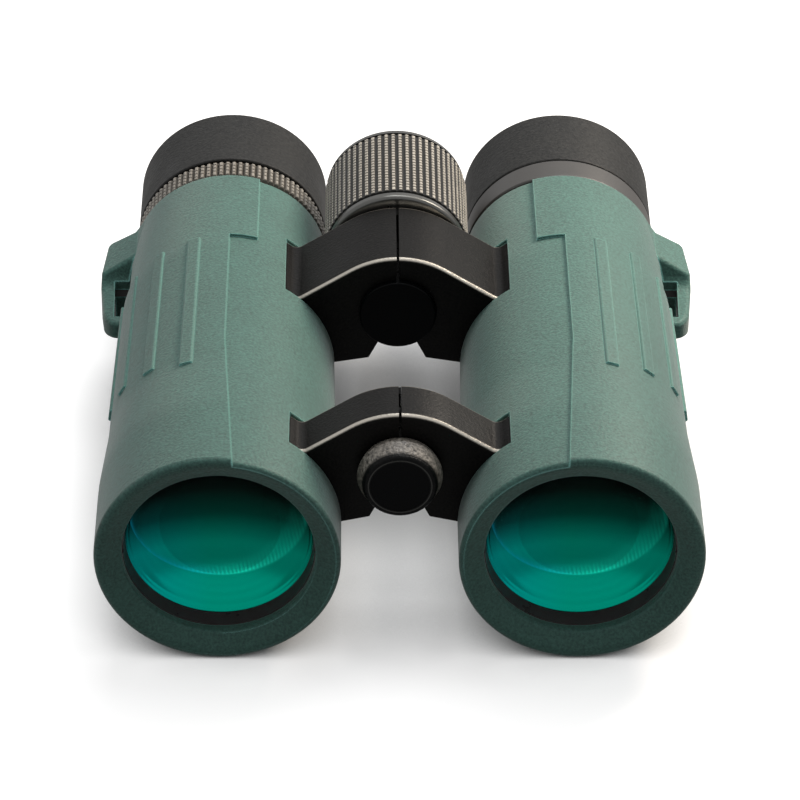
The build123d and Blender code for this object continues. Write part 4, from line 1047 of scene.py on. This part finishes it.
class BINOCULARS_OT_stage(bpy.types.Operator):
    """White floor, soft light and the camera"""

    bl_idname = "binoculars.stage"
    bl_label = "Stage"

    def execute(self, context):
        scene = context.scene
        scene.view_settings.view_transform = "Standard"
        floor_shape = bmesh.new()
        bmesh.ops.create_grid(floor_shape, x_segments=8, y_segments=8, size=FLOOR_HALF)
        floor = bpy.data.objects.new("studio_floor", finished("studio_floor", floor_shape))
        floor.location.z = CAD_BOX[0][2] - FLOOR_DROP
        scene.collection.objects.link(floor)
        floor.data.materials.append(self.paper())
        self.light_world(scene)
        self.hang_lamps(scene)
        self.set_camera(scene)
        return {"FINISHED"}

    def paper(self):
        """Matt white paper with a painted glow to the eye and a painted shadow round the object; it throws little
        light back on the object.
        """
        sheet = surface("white_paper_floor", Roughness=0.9, Specular_IOR_Level=0.0)
        tree, shader = sheet.node_tree, shader_of(sheet)
        shade = add(
            tree,
            "ShaderNodeMix",
            {0: self.seen(tree, "Is Transmission Ray"), 6: linear("#6A6A6A"), 7: linear("#C6C6C6")},
            data_type="RGBA",
        )
        tree.links.new(shade.outputs[2], shader.inputs["Base Color"])
        lift = add(
            tree,
            "ShaderNodeMath",
            {0: self.seen(tree, "Is Transmission Ray"), 1: self.painted_floor_glow(tree)},
            operation="MULTIPLY",
        )
        mirrored = add(tree, "ShaderNodeLightPath").outputs["Is Glossy Ray"]
        lift = add(
            tree, "ShaderNodeMath", {0: mirrored, 1: FLOOR_MIRRORED, 2: lift.outputs[0]}, operation="MULTIPLY_ADD"
        )
        shader.inputs["Emission Color"].default_value = linear(WHITE)
        tree.links.new(lift.outputs[0], shader.inputs["Emission Strength"])
        return sheet

    def painted_floor_glow(self, tree):
        """Painted glow on the paper, dimmed round the object and where it touches the paper as painted shadow."""
        spot = add(
            tree,
            "ShaderNodeMapping",
            {
                "Vector": add(tree, "ShaderNodeTexCoord").outputs["Object"],
                "Location": SHADOW_CENTRE,
                "Scale": SHADOW_REACH,
            },
            vector_type="TEXTURE",
        )
        away = add(tree, "ShaderNodeVectorMath", {0: spot.outputs["Vector"]}, operation="LENGTH")
        share = add(tree, "ShaderNodeMapRange", {"Value": away.outputs["Value"], "From Max": SHADOW_END})
        glow = add(tree, "ShaderNodeValToRGB", {"Fac": share.outputs["Result"]})
        glow.color_ramp.interpolation = "EASE"
        stops = glow.color_ramp.elements
        stops[0].color, stops[1].color = [GLOW_LEAST] * 3 + [1.0], [GLOW_MOST] * 3 + [1.0]
        for position, level in GLOW_LEVELS:
            stops.new(position).color = [level] * 3 + [1.0]
        # Painted contact shadow: little light gets under the barrels, so the glow is multiplied by ambient
        # occlusion and the paper is dark where they touch it.
        near = add(tree, "ShaderNodeAmbientOcclusion", {"Distance": CONTACT_REACH}, samples=8)
        open_sky = add(
            tree,
            "ShaderNodeMapRange",
            {"Value": near.outputs["AO"], "From Min": CONTACT_DARK, "From Max": CONTACT_CLEAR},
        )
        contact = add(
            tree, "ShaderNodeMath", {0: glow.outputs["Color"], 1: open_sky.outputs["Result"]}, operation="MULTIPLY"
        )
        return contact.outputs[0]

    def seen(self, tree, *rays):
        """One for the kinds of ray that show the background to the eye."""
        path = add(tree, "ShaderNodeLightPath")
        either = path.outputs["Is Camera Ray"]
        for ray in rays:
            either = add(tree, "ShaderNodeMath", {0: either, 1: path.outputs[ray]}, operation="MAXIMUM").outputs[0]
        return either

    def light_world(self, scene):
        """Pale room: white to the eye and in reflections, softer as light."""
        world = bpy.data.worlds.new("white_room")
        scene.world = world
        world.use_nodes = True
        tree = world.node_tree
        visible = self.seen(tree, "Is Glossy Ray", "Is Transmission Ray")
        level = add(tree, "ShaderNodeMapRange", {"Value": visible, "To Min": ROOM_LIGHT, "To Max": 1.0})
        back = tree.nodes["Background"]
        back.inputs["Color"].default_value = linear(WHITE)
        tree.links.new(level.outputs["Result"], back.inputs["Strength"])

    def hang_lamps(self, scene):
        """A wide lamp high up behind, and a small warm one that rakes the left half."""
        for name, place, side, power, code in LAMPS:
            lamp = bpy.data.lights.new(name, "AREA")
            lamp.size = side
            lamp.energy = power
            lamp.color = linear(code)[:3]
            item = bpy.data.objects.new(name, lamp)
            item.location = place
            item.rotation_euler = (LAMP_AIM - Vector(place)).to_track_quat("-Z", "Y").to_euler()
            scene.collection.objects.link(item)

    def set_camera(self, scene):
        """Stands in front, well above the object, with a long lens."""
        camera = bpy.data.cameras.new("camera")
        camera.lens = sizes().focal
        camera.clip_start = CAMERA_CLIP
        item = bpy.data.objects.new("camera", camera)
        across = CAMERA_RIGHT * math.cos(CAMERA_ROLL) + CAMERA_UP * math.sin(CAMERA_ROLL)
        upward = CAMERA_UP * math.cos(CAMERA_ROLL) - CAMERA_RIGHT * math.sin(CAMERA_ROLL)
        turn = Matrix((across, upward, across.cross(upward))).transposed()
        item.matrix_world = Matrix.Translation(CAMERA_PLACE) @ turn.to_4x4()
        scene.collection.objects.link(item)
        scene.camera = item


STEPS = (
    BINOCULARS_OT_armour,
    BINOCULARS_OT_castings,
    BINOCULARS_OT_objectives,
    BINOCULARS_OT_eyepieces,
    BINOCULARS_OT_diopter,
    BINOCULARS_OT_wheel,
    BINOCULARS_OT_hinge,
    BINOCULARS_OT_works,
    BINOCULARS_OT_stage,
)


class BINOCULARS_PT_panel(bpy.types.Panel):
    """Sizes, colours and steps of the binoculars"""

    bl_idname = "BINOCULARS_PT_panel"
    bl_label = "Binoculars"
    bl_space_type = "VIEW_3D"
    bl_region_type = "UI"
    bl_category = "Binoculars"

    def draw(self, context):
        for group in (colours(), sizes()):
            for key in group.__annotations__:
                self.layout.prop(group, key)
        for step in STEPS:
            self.layout.operator(step.bl_idname)


CLASSES = (BinocularColours, BinocularSizes, *STEPS, BINOCULARS_PT_panel)


def register():
    for item in CLASSES:
        bpy.utils.register_class(item)
    bpy.types.Scene.binocular_colours = bpy.props.PointerProperty(type=BinocularColours)
    bpy.types.Scene.binocular_sizes = bpy.props.PointerProperty(type=BinocularSizes)


def unregister():
    del bpy.types.Scene.binocular_sizes
    del bpy.types.Scene.binocular_colours
    for item in reversed(CLASSES):
        bpy.utils.unregister_class(item)


def main():
    register()
    for step in STEPS:
        group, name = step.bl_idname.split(".")
        getattr(getattr(bpy.ops, group), name)()


if __name__ == "__main__":
    main()
